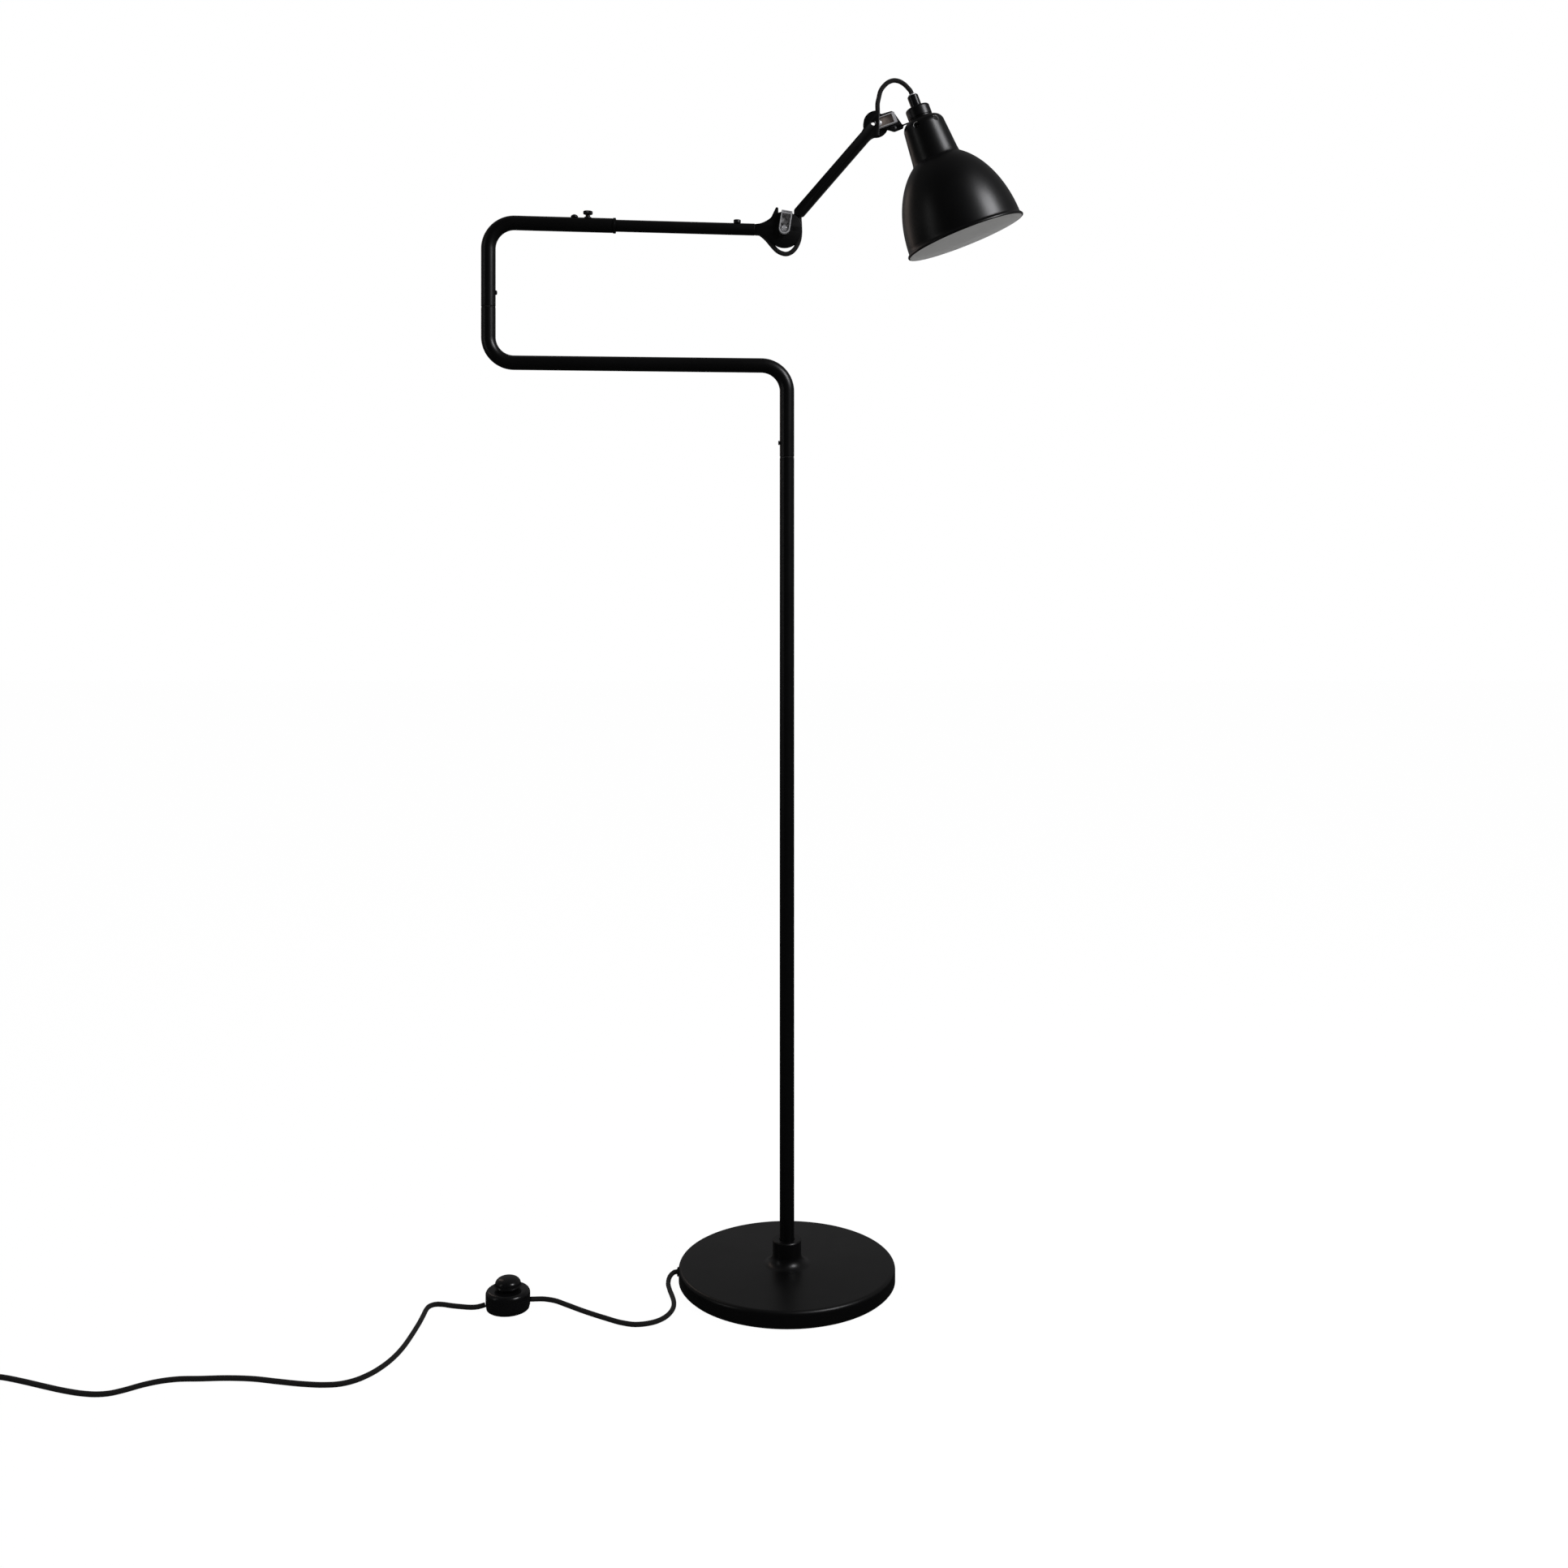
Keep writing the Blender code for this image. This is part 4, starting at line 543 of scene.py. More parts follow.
def turned(name, profile, finishes, place=Matrix(), steps=96, sharp=28.0, inlay_from=None, ripple=None):
    """A piece turned about its own Z. A profile that never meets the axis closes on itself."""
    if not isinstance(finishes, (list, tuple)):
        finishes = [finishes]
    hollow = min(radius for radius, _ in profile) > 1e-6
    points, rings = [], []
    for radius, height in profile:
        if radius < 1e-6:
            rings.append([len(points)] * steps)
            points.append(Vector((0, 0, height)))
            continue
        rings.append(list(range(len(points), len(points) + steps)))
        for j in range(steps):
            angle = TAU * j / steps
            r = radius + (ripple(angle, radius, height) if ripple else 0.0)
            points.append(Vector((r * math.cos(angle), r * math.sin(angle), height)))
    faces, inlay = [], []
    for i in range(len(rings) if hollow else len(rings) - 1):
        low, high = rings[i], rings[(i + 1) % len(rings)]
        for j in range(steps):
            k = (j + 1) % steps
            corners = []
            for corner in (low[j], low[k], high[k], high[j]):
                if corner not in corners:
                    corners.append(corner)
            if len(corners) > 2:
                if inlay_from is not None and i >= inlay_from:
                    inlay.append(len(faces))
                faces.append(tuple(corners))
    return new_piece(name, [place @ point for point in points], faces, finishes, sharp, inlay)


PAD_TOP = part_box("floor_pad")[1].z
SEAT = 0.024
POCKET_TOP = 0.0142
hub = [(TUBE_RADIUS + GAP, SEAT), (TUBE_RADIUS + GAP, HUB_TOP - 0.0004), (TUBE_RADIUS + 0.0007, HUB_TOP),
       (HUB_RADIUS - 0.0012, HUB_TOP), (HUB_RADIUS - 0.0002, HUB_TOP - 0.0010), (HUB_RADIUS, HUB_TOP - 0.0018)]
hub += arc((HUB_RADIUS + HUB_FILLET, BASE_TOP + HUB_FILLET), HUB_FILLET, 180, 270, 14)
rim = arc((BASE_RADIUS - RIM_ROUND, BASE_TOP - RIM_ROUND), RIM_ROUND, 90, 0, 10)
rim += [(BASE_RADIUS, PAD_TOP + 0.0016), (BASE_RADIUS - 0.0010, PAD_TOP + GAP)]
under = [(0.0124, PAD_TOP + GAP), (0.0124, POCKET_TOP), (0.0053, POCKET_TOP), (0.0053, SEAT)]
base_plate = turned("base_plate", hub + rim + under, BLACK_PAINT, steps=160)
fit(base_plate, "stand", "black_paint", "base_plate")
pad_profile = [(0.0, PAD_TOP), (PAD_RADIUS - 0.0005, PAD_TOP), (PAD_RADIUS, PAD_TOP - 0.0005), (PAD_RADIUS, 0.0),
               (0.0, 0.0)]
fit(turned("floor_pad", pad_profile, RUBBER, steps=128), "stand", "black_rubber", "floor_pad")


def plate_over(finish, *solids):
    """Solids kept as the frame has them get their finish."""
    for solid in solids:
        frame["nodes"][solid].material_slots[0].material = finish


plate_over(ZINC, "base_washer", "base_nut", "base_nipple", "post_foot_plug")


# ---------------------------------------------------------------- cord bush
# Soft moulded rubber bush pressed into the side of the base. Its collar stands outside and its thin sleeve
# runs in along the lead, so that the edge of the hole doesn't chafe it.

BUSH_HEIGHT = 0.0098
toward_left = Matrix.Translation((0, 0, BUSH_HEIGHT)) @ Matrix.Rotation(-math.pi / 2, 4, "Y")
FACE = BASE_RADIUS + GAP
SLEEVE = 0.009
bush_profile = ease([(CORD_RADIUS + GAP, FACE - SLEEVE), (CORD_RADIUS + GAP, FACE + 0.0016),
                     (0.0046, FACE + 0.0016), (0.0054, FACE + 0.0006), (0.0054, FACE),
                     (0.0040, FACE), (0.0040, FACE - SLEEVE)], 0.0003)
fit(turned("cord_bush", bush_profile, RUBBER, toward_left, steps=48), "stand", "black_rubber", "cord_bush")


# ---------------------------------------------------------------- post and swivels
# Straight steel tube on the hub. At each swivel a zinc spigot joins two tubes, a nylon washer takes the
# load and a small stop screw runs in the spigot's groove.

NYLON = new_finish("nylon", SPRAYED, {"Paint": (0.012, 0.012, 0.012, 1.0), "Dust": (0.05, 0.05, 0.05, 1.0),
                                      "Dust Amount": 0.2, "Grain": 900.0, "Low Gloss": 0.6, "High Gloss": 0.45},
                   bump=0.00001)
BLACK_STEEL = new_finish("blacked_steel", WORKED,
                         {"Metal": (0.020, 0.020, 0.021, 1.0), "Tarnish And Painted Shade": (0.008, 0.008, 0.008, 1.0),
                          "Tarnish And Painted Shade Amount": 0.7, "Cloud": 420.0, "Dull": 0.42, "Bright": 0.26},
                         bump=0.00001, Metallic=0.35)
LOWER_JOINT = 0.952
UPPER_JOINT = 1.1258
REACH = 0.3454
JOINT_GAP = 0.0007
FOOT_EASE = 0.0004


def tube_sections(low, high):
    """A straight tube's wall, both ends eased."""
    return [(TUBE_BORE, low), (TUBE_RADIUS - FOOT_EASE, low), (TUBE_RADIUS, low + FOOT_EASE),
            (TUBE_RADIUS, high - FOOT_EASE), (TUBE_RADIUS - FOOT_EASE, high), (TUBE_BORE, high)]


post = turned("post", tube_sections(SEAT + GAP, LOWER_JOINT - JOINT_GAP), BLACK_PAINT, steps=72)
fit(post, "stand", "black_paint", "post")
STOP_SCREW_ABOVE = 0.0165
WASHER = [(TUBE_BORE, -0.0004), (TUBE_RADIUS - 0.0002, -0.0004), (TUBE_RADIUS - 0.0002, 0.0004),
          (TUBE_BORE, 0.0004)]
SMALL_SCREW = [(0.0, 0.0101), (0.0006, 0.0101), (0.0006, 0.0096), (0.0011, 0.0096), (0.0012, 0.0101),
               (0.0019, 0.01005), (0.0024, 0.0098), (0.0026, 0.0094), (0.0026, 0.0087), (0.0020, 0.0087),
               (0.0020, 0.0062), (0.0, 0.0062)]
for label, body, x, joint_height, side, screw_body in (("lower", "stand", 0.0, LOWER_JOINT, -1, "lower_arm"),
                                                       ("upper", "lower_arm", -REACH, UPPER_JOINT, 1, "upper_arm")):
    at_joint = Matrix.Translation((x, 0, joint_height))
    washer = turned(label + "_swivel_washer", WASHER, NYLON, at_joint, steps=72)
    fit(washer, body, "nylon", label + "_swivel_washer")
    plate_over(ZINC, label + "_swivel_spigot")
    screw_at = at_joint @ Matrix.Translation((0, 0, STOP_SCREW_ABOVE))
    screw = turned(label + "_stop_screw", SMALL_SCREW, BLACK_STEEL,
                   screw_at @ Matrix.Rotation(side * math.pi / 2, 4, "Y"), steps=32)
    fit(screw, screw_body, "black_steel", label + "_stop_screw")


# ---------------------------------------------------------------- bent arms
# Two lengths of the same tube, each drawn round 30 mm bends, painted with the post. The upper one is open
# at its far end, where a short ring guides the sliding tube.

BEND = 0.030
LOWER_CORNER = 1.0577
LOWER_RISE = 0.0039
UPPER_CORNER = 1.2238
RUN_LENGTH = 0.1441
DROOP = math.radians(1.6)


def bent_path(corners, radius, steps=28):
    """Corner points joined by straights, each inner corner drawn round an arc."""
    points = [Vector(corners[0])]
    for before, corner, after in zip(corners, corners[1:], corners[2:]):
        corner = Vector(corner)
        back = (Vector(before) - corner).normalized()
        on = (Vector(after) - corner).normalized()
        half = back.angle(on) / 2
        centre = corner + (back + on).normalized() * radius / math.sin(half)
        first = corner + back * radius / math.tan(half) - centre
        last = corner + on * radius / math.tan(half) - centre
        sweep = first.angle(last)
        for i in range(steps + 1):
            share = i / steps
            mix = first * math.sin((1 - share) * sweep) + last * math.sin(share * sweep)
            points.append(centre + mix / math.sin(sweep))
    points.append(Vector(corners[-1]))
    return points


def open_tube(name, corners, around=64):
    """A bent tube with its bore, both mouths eased."""
    path = bent_path(corners, BEND)
    start, end = path[0], path[-1]
    inward = (path[1] - start).normalized() * FOOT_EASE, (path[-2] - end).normalized() * FOOT_EASE
    outer = [start, start + inward[0]] + path[1:-1] + [end + inward[1], end]
    radii = [TUBE_RADIUS - FOOT_EASE] + [TUBE_RADIUS] * (len(outer) - 2) + [TUBE_RADIUS - FOOT_EASE]
    walk = [(centre, r) for centre, r in zip(outer, radii)]
    walk += [(centre, TUBE_BORE) for centre in reversed(path)]
    points, faces = [], []
    for centre, radius in walk:
        nearest = min(range(len(path)), key=lambda i: (path[i] - centre).length)
        on = (path[min(nearest + 1, len(path) - 1)] - path[max(nearest - 1, 0)]).normalized()
        side = Vector((0, 1, 0))
        other = on.cross(side)
        points += [centre + (side * math.cos(TAU * j / around) + other * math.sin(TAU * j / around)) * radius
                   for j in range(around)]
    for i in range(len(walk)):
        low, high = i * around, (i + 1) % len(walk) * around
        for j in range(around):
            k = (j + 1) % around
            faces.append((low + j, low + k, high + k, high + j))
    return new_piece(name, points, faces, [BLACK_PAINT], sharp=35.0)


lower_arm = open_tube("lower_arm_tube", [
    (0, 0, LOWER_JOINT + JOINT_GAP), (0, 0, LOWER_CORNER), (-REACH, 0, LOWER_CORNER + LOWER_RISE),
    (-REACH, 0, UPPER_JOINT - JOINT_GAP)])
fit(lower_arm, "lower_arm", "black_paint", "lower_arm_tube")
corner = Vector((-REACH, 0, UPPER_CORNER))
along = Matrix.Translation(corner) @ Matrix.Rotation(DROOP, 4, "Y")
upper_arm = open_tube("upper_arm_tube", [(-REACH, 0, UPPER_JOINT + JOINT_GAP), tuple(corner),
                                         tuple(along @ Vector((RUN_LENGTH, 0, 0)))])
fit(upper_arm, "upper_arm", "black_paint", "upper_arm_tube")
along_tube = along @ Matrix.Rotation(math.pi / 2, 4, "Y")
SLIDE_RADIUS = 0.0069
RING_RADIUS = 0.0090
ring_start = RUN_LENGTH + GAP
ring_end = ring_start + 0.003
ring_profile = ease([(SLIDE_RADIUS + GAP, ring_start), (RING_RADIUS, ring_start), (RING_RADIUS, ring_end),
                     (SLIDE_RADIUS + GAP, ring_end)], 0.0004)
fit(turned("arm_end_ring", ring_profile, BLACK_PAINT, along_tube, steps=72), "upper_arm", "black_paint",
    "arm_end_ring")


# ---------------------------------------------------------------- clamp
# A blacked thumbscrew with a knurled head stands in a bush in the arm and presses on the sliding tube; a
# button-head screw behind it runs in the tube's key groove.

THUMB_AT = 0.1149
GUIDE_AT = 0.0994
thumb_place = along @ Matrix.Translation((THUMB_AT, 0, 0))


def ridges(angle, depth, count):
    """How far straight ridges cut in at that angle."""
    return -depth * (0.5 + 0.5 * math.cos(count * angle))


def knurl(angle, radius, height):
    """Fine straight ridges round the thumbscrew's head only."""
    on_head = radius > 0.0054 and 0.0127 < height < 0.0155
    return ridges(angle, 0.00028, 40) if on_head else 0.0


thumb_profile = [(0.0, 0.0158), (0.0022, 0.0158), (0.0028, 0.0160), (0.0048, 0.0160), (0.0053, 0.0157),
                 (0.0055, 0.0154), (0.0055, 0.0128), (0.0052, 0.0124), (0.0048, 0.0122), (0.0030, 0.0122),
                 (0.0027, 0.0119), (0.0027, 0.0072), (0.0, 0.0072)]
fit(turned("thumbscrew", thumb_profile, BLACK_STEEL, thumb_place, steps=160, ripple=knurl), "thumbscrew",
    "black_steel", "thumbscrew")
bush_ring = ease([(0.0030, 0.0074), (0.0030, 0.0090), (0.0042, 0.0090), (0.0042, 0.0074)], 0.0002)
fit(turned("clamp_bush", bush_ring, BLACK_STEEL, thumb_place, steps=48), "upper_arm", "black_steel", "clamp_bush")
GUIDE_SEAT = TUBE_RADIUS + GAP
GUIDE_HEAD = 0.00425
guide_profile = [(0.0, GUIDE_SEAT + 0.0016), (0.0012, GUIDE_SEAT + 0.0016), (0.0014, GUIDE_SEAT + 0.0030)]
guide_profile += [(GUIDE_HEAD * math.sin(math.radians(a)), GUIDE_SEAT + 0.0004 + 0.0026 * math.cos(math.radians(a)))
                  for a in (28, 40, 52, 64, 76, 90)]
guide_profile += [(GUIDE_HEAD, GUIDE_SEAT), (0.0018, GUIDE_SEAT), (0.0018, 0.0066), (0.0, 0.0066)]
guide_place = along @ Matrix.Translation((GUIDE_AT, 0, 0))
fit(turned("guide_screw", guide_profile, BLACK_STEEL, guide_place, steps=48), "upper_arm", "black_steel",
    "guide_screw")


# ---------------------------------------------------------------- sliding tube
# Thinner tube that draws out of the upper arm, with a shallow milled key groove along its top and a small
# cylinder-head screw through it into the elbow's root.

SLIDE_BORE = 0.0053
SLIDE_FROM = 0.0674
SLIDE_TO = 0.3082
FIXING_AT = 0.2877
GROOVE_FROM = 0.0724
GROOVE_TO = 0.1380
GROOVE_HALF = 0.0023
GROOVE_DEPTH = 0.0006


def cut(piece, cutter, operation="DIFFERENCE"):
    """The cutter taken out of the piece, or joined to it, and the result made its own mesh."""
    step = piece.modifiers.new("cut", "BOOLEAN")
    step.operation = operation
    step.solver = "EXACT"
    step.object = cutter
    bpy.context.view_layer.update()
    mesh = bpy.data.meshes.new_from_object(piece.evaluated_get(bpy.context.evaluated_depsgraph_get()))
    piece.modifiers.clear()
    piece.data = mesh
    bpy.data.objects.remove(cutter, do_unlink=True)
    mesh.polygons.foreach_set("use_smooth", [True] * len(mesh.polygons))
    mesh.set_sharp_from_angle(angle=math.radians(28))


def box_cutter(low, high, place):
    """A square-cornered tool between two corners, for cut()."""
    points = [place @ Vector((x, y, z)) for x in (low[0], high[0]) for y in (low[1], high[1])
              for z in (low[2], high[2])]
    faces = [(0, 1, 3, 2), (4, 6, 7, 5), (0, 4, 5, 1), (2, 3, 7, 6), (0, 2, 6, 4), (1, 5, 7, 3)]
    return new_piece("cutter", points, faces, [BLACK_PAINT])


slide_profile = [(SLIDE_BORE, SLIDE_FROM), (SLIDE_RADIUS - FOOT_EASE, SLIDE_FROM),
                 (SLIDE_RADIUS, SLIDE_FROM + FOOT_EASE), (SLIDE_RADIUS, SLIDE_TO - FOOT_EASE),
                 (SLIDE_RADIUS - FOOT_EASE, SLIDE_TO), (SLIDE_BORE, SLIDE_TO)]
slide_tube = turned("slide_tube", slide_profile, BLACK_PAINT, along_tube, steps=64)
cut(slide_tube, box_cutter((GROOVE_FROM, -GROOVE_HALF, SLIDE_RADIUS - GROOVE_DEPTH),
                           (GROOVE_TO, GROOVE_HALF, SLIDE_RADIUS + 0.001), along))
fit(slide_tube, "slide_arm", "black_paint", "slide_tube")
FIX_SEAT = SLIDE_RADIUS + GAP
fix_profile = [(0.0, FIX_SEAT + 0.0018), (0.0019, FIX_SEAT + 0.0018), (0.0020, FIX_SEAT + 0.0036),
               (0.0036, FIX_SEAT + 0.0036), (0.0041, FIX_SEAT + 0.0033), (0.0042, FIX_SEAT + 0.0030),
               (0.0042, FIX_SEAT + 0.0002), (0.0040, FIX_SEAT), (0.0018, FIX_SEAT), (0.0018, 0.0047), (0.0, 0.0047)]
fit(turned("fixing_screw", fix_profile, BLACK_STEEL, along @ Matrix.Translation((FIXING_AT, 0, 0)), steps=48),
    "slide_arm", "black_steel", "fixing_screw")


# ---------------------------------------------------------------- elbow
# Two pressed and painted cheeks on either side of a root that plugs the sliding tube; the forearm's tongue
# turns between them on a bolt, and the lead passes in a slack loop.


def joint_place(name):
    """Where the frame has that joint."""
    return Vector(next(joint["pos_m"] for joint in frame["joints"] if joint["name"] == name))


ELBOW = joint_place("elbow_hinge")
at_elbow = Matrix.Translation(ELBOW)
SLOT_HALF = 0.0031
CHEEK = 0.0024
CHEEK_RADIUS = 0.0203
BOLT_HOLE = 0.0023


def area_of(outline):
    """An outline's area, below zero where it runs clockwise."""
    return sum(a[0] * b[1] - b[0] * a[1] for a, b in zip(outline, outline[1:] + outline[:1])) / 2


def circle(radius, centre=(0, 0)):
    """A round hole's outline."""
    return [Vector(centre) + Vector(point) for point in arc((0, 0), radius, 0, 345, 23)]


def drawn_in(outline, inset):
    """The outline moved to its own left by the inset, into the metal."""
    result, count = [], len(outline)
    for i in range(count):
        before, here, after = (Vector(outline[(i + k) % count]) for k in (-1, 0, 1))
        one, two = (here - before).normalized(), (after - here).normalized()
        normals = Vector((-one.y, one.x)), Vector((-two.y, two.x))
        middle = (normals[0] + normals[1]).normalized()
        result.append(here + middle * inset / max(0.4, middle.dot(normals[0])))
    return result


def pressed(name, outlines, near, far, finish, place, edge=0.0003, sharp=25.0):
    """A flat piece between two Y planes, its outline and holes first to last, every edge broken."""
    loops = []
    for number, outline in enumerate(outlines):
        outline = [tuple(point) for point in outline]
        if (area_of(outline) > 0) != (number == 0):
            outline.reverse()
        loops.append(outline)
    turn = edge * 0.29
    levels = [(edge, near), (turn, near + turn), (0.0, near + edge),
              (0.0, far - edge), (turn, far - turn), (edge, far)]
    points, faces, rings = [], [], []
    for outline in loops:
        ring = []
        for inset, depth in levels:
            start = len(points)
            points += [place @ Vector((u, depth, v)) for u, v in drawn_in(outline, inset)]
            ring.append(list(range(start, start + len(outline))))
        rings.append(ring)
        for low, high in zip(ring, ring[1:]):
            for j in range(len(outline)):
                k = (j + 1) % len(outline)
                faces.append((low[j], low[k], high[k], high[j]))
    for level in (0, -1):
        flat = [[Vector((*p, 0.0)) for p in drawn_in(outline, edge)] for outline in loops]
        numbers = [number for ring in rings for number in ring[level]]
        for triangle in geometry.tessellate_polygon(flat):
            faces.append(tuple(numbers[corner] for corner in triangle))
    return new_piece(name, points, faces, [finish], sharp)


def cheek_outline():
    """Root as wide as the tube, flared top edge, horn, round body and a sloping lower edge."""
    lean = math.degrees(math.acos(-0.0070 / CHEEK_RADIUS))
    points = [(-0.0354, -0.0056), (-0.0354, 0.0058), (-0.0280, 0.0066), (-0.0220, 0.0090), (-0.0156, 0.0131)]
    points += arc((-0.0087, 0.0236), 0.0017, 165, 0, 8)
    points += arc((0, 0), CHEEK_RADIUS, lean, -126, 60)
    points += [(-0.0150, -0.0156), (-0.0196, -0.0108), (-0.0245, -0.0070), (-0.0290, -0.0058)]
    return ease(points, 0.0022)


for side, label in ((-1, "front"), (1, "back")):
    near, far = sorted((side * SLOT_HALF, side * (SLOT_HALF + CHEEK)))
    cheek = pressed("elbow_cheek_" + label, [cheek_outline(), circle(BOLT_HOLE)], near, far, BLACK_PAINT,
                    at_elbow, edge=0.00045)
    fit(cheek, "slide_arm", "black_paint", "elbow_cheek_" + label)
plate_over(BLACK_STEEL, "elbow_root", "forearm_tongue", "elbow_nut", "head_nut")


# ---------------------------------------------------------------- locking levers
# Folded from sheet and chrome plated: a trough with one round end over the bolt and a lip across its free
# end. The elbow's is the deeper one; the head's lies flat in the eye of the forearm.

CHROME = new_finish("chrome_plate", WORKED,
                    {"Metal": (0.78, 0.78, 0.80, 1.0), "Tarnish And Painted Shade": (0.24, 0.235, 0.235, 1.0),
                     "Tarnish And Painted Shade Amount": 0.30, "Cloud": 170.0, "Dull": 0.28, "Bright": 0.14},
                    bump=0.00006, Metallic=0.40)
# Inside walls and floor of the elbow lever's trough: chrome darkened with near-black mottles, painted shade and
# painted dark reflections.
TROUGH_SHADE_CHROME = new_finish("chrome_with_painted_trough_shade", WORKED,
                     {"Metal": (0.62, 0.61, 0.62, 1.0), "Tarnish And Painted Shade": (0.018, 0.017, 0.017, 1.0),
                      "Tarnish And Painted Shade Amount": 1.0, "Cloud": 260.0, "Dull": 0.30, "Bright": 0.14},
                     bump=0.00008, Metallic=0.30)
# Inside walls and floor of the head lever's trough: dark brownish metal, painted shade in the pocket.
POCKET_SHADE_METAL = new_finish("painted_pocket_shade", WORKED,
                         {"Metal": (0.30, 0.25, 0.22, 1.0), "Tarnish And Painted Shade": (0.12, 0.10, 0.09, 1.0),
                          "Tarnish And Painted Shade Amount": 0.8, "Cloud": 110.0, "Dull": 0.55, "Bright": 0.38},
                         bump=0.00004, Metallic=0.3)
LEVER_WIDTH = 0.0127
LEVER_LENGTH = 0.0204
LEVER_WALL = 0.0014
LEVER_FLOOR = 0.0016
LEVER_LIP = 0.0038
LEVER_CORNER = 0.0008


def lever_outline(inset, end, nose):
    """Round at the bolt, square at the free end; nose is how far the round end reaches."""
    half = LEVER_WIDTH / 2 - inset
    flatten = (nose - inset) / half
    points = [(x * flatten, y) for x, y in arc((0, 0), half, 270, 90, 28)]
    points += [(end * share, half) for share in (0.3, 0.6, 0.85)]
    points += arc((end - LEVER_CORNER, half - LEVER_CORNER), LEVER_CORNER, 90, 0, 3)
    points += arc((end - LEVER_CORNER, -half + LEVER_CORNER), LEVER_CORNER, 0, -90, 3)
    points += [(end * share, -half) for share in (0.85, 0.6, 0.3)]
    return points


def lever(name, place, front, depth, shank, nose, trough_shade_finish):
    """The trough: outside, a rolled edge all round its mouth, inside walls and a floor with the bolt's hole; the
    inside walls and floor take the second finish, painted darker as shade.
    """
    back = front + depth
    floor_at = back - LEVER_FLOOR
    outer = lever_outline(0.0, LEVER_LENGTH, nose)
    inner = lever_outline(LEVER_WALL, LEVER_LENGTH - LEVER_LIP, nose)
    soft_outer = lever_outline(0.0005, LEVER_LENGTH - 0.0005, nose)
    soft_inner = lever_outline(LEVER_WALL - 0.0004, LEVER_LENGTH - LEVER_LIP + 0.0004, nose)
    stack = [(soft_outer, back), (outer, back - 0.0005), (outer, front + 0.0006), (soft_outer, front),
             (soft_inner, front), (inner, front + 0.0005), (inner, floor_at)]
    points, faces, rings, inlay = [], [], [], []
    for outline, depth_at in stack:
        rings.append(list(range(len(points), len(points) + len(outline))))
        points += [place @ Vector((u, depth_at, v)) for u, v in outline]
    count = len(outer)
    for low, high in zip(rings, rings[1:]):
        for j in range(count):
            if high is rings[-1]:
                inlay.append(len(faces))
            faces.append((low[j], low[(j + 1) % count], high[(j + 1) % count], high[j]))
    hole = circle(shank + GAP)
    holes = []
    for outline, depth_at in ((soft_outer, back), (inner, floor_at)):
        holes.append(list(range(len(points), len(points) + len(hole))))
        points += [place @ Vector((u, depth_at, v)) for u, v in hole]
        ring = rings[0] if depth_at == back else rings[-1]
        flat = [[Vector((*p, 0.0)) for p in outline], [Vector((*p, 0.0)) for p in hole[::-1]]]
        numbers = ring + holes[-1][::-1]
        for triangle in geometry.tessellate_polygon(flat):
            if depth_at != back:
                inlay.append(len(faces))
            faces.append(tuple(numbers[corner] for corner in triangle))
    for j in range(len(hole)):
        k = (j + 1) % len(hole)
        faces.append((holes[0][j], holes[0][k], holes[1][k], holes[1][j]))
    return new_piece(name, points, faces, [CHROME, trough_shade_finish], 40.0, inlay)


ELBOW_FACE = 0.0059
ELBOW_LEVER_DEPTH = 0.0070
ELBOW_LEVER_LEAN = math.radians(81)
ELBOW_SHANK = 0.0020
up_lever = at_elbow @ Matrix.Rotation(-ELBOW_LEVER_LEAN, 4, "Y")
elbow_lever = lever("elbow_lever", up_lever, -ELBOW_FACE - ELBOW_LEVER_DEPTH, ELBOW_LEVER_DEPTH, ELBOW_SHANK,
                    LEVER_WIDTH / 2, TROUGH_SHADE_CHROME)
cut(elbow_lever, box_cutter((0.0178, -0.0140, -0.0042), (0.0194, -0.0119, 0.0042), up_lever))
fit(elbow_lever, "elbow_lever", "chrome", "elbow_lever")


BOLT_HEAD = 0.0024
NUT = 0.0032
NUT_PROUD = 0.0006


def bolt(name, place, shank, head, head_low, tail):
    """Bolt with a low domed head and a turned ring under it, along Y towards the front."""
    high = head_low + BOLT_HEAD
    dome = [(0.0, 0.0), (0.35, 0.00005), (0.62, 0.0003), (0.80, 0.0008), (0.84, 0.0012), (0.97, 0.0013),
            (1.0, 0.0015)]
    profile = [(head * share, high - fall) for share, fall in dome]
    profile += [(head, head_low), (shank, head_low), (shank, tail), (0.0, tail)]
    return turned(name, profile, CHROME, place @ Matrix.Rotation(math.pi / 2, 4, "X"), steps=56)


elbow_bolt = bolt("elbow_bolt", at_elbow, ELBOW_SHANK, 0.0039, ELBOW_FACE + LEVER_FLOOR + GAP,
                  -(ELBOW_FACE + NUT + NUT_PROUD))
fit(elbow_bolt, "slide_arm", "chrome", "elbow_bolt")


# ---------------------------------------------------------------- forearm
# Two pressed halves, painted black, welded edge to edge round the lead; a long crease stiffens each face,
# and a round eye at the top takes the head's joint.

ARM_LEAN = math.radians(49.1)
ARM_LENGTH = 0.1616
ARM_HALF_WIDTH = 0.0064
ARM_FACE = 0.0056
ARM_SEAM = 0.0003
EYE_RADIUS = 0.01465
EYE_CUT = 0.0037
POCKET_RADIUS = 0.01545
POCKET_HALF = 0.0041
LEAD_HALF = 0.0030
SIGHT_RADIUS = 0.0029
HEAD_BOLT_HOLE = 0.0019
CREASE_FROM = 0.0435
CREASE_LENGTH = 0.0875
CREASE_PARTS = 20
along_arm = at_elbow @ Matrix.Rotation(-ARM_LEAN, 4, "Y")
EYE = along_arm @ Vector((ARM_LENGTH, 0, 0))
HEAD_PIVOT = Vector((0.0036, 0.0, 0.0012))


def from_eye(x, z):
    """A point given level from the eye's centre, in the forearm's own lean."""
    return (ARM_LENGTH + x * math.cos(ARM_LEAN) + z * math.sin(ARM_LEAN),
            -x * math.sin(ARM_LEAN) + z * math.cos(ARM_LEAN))


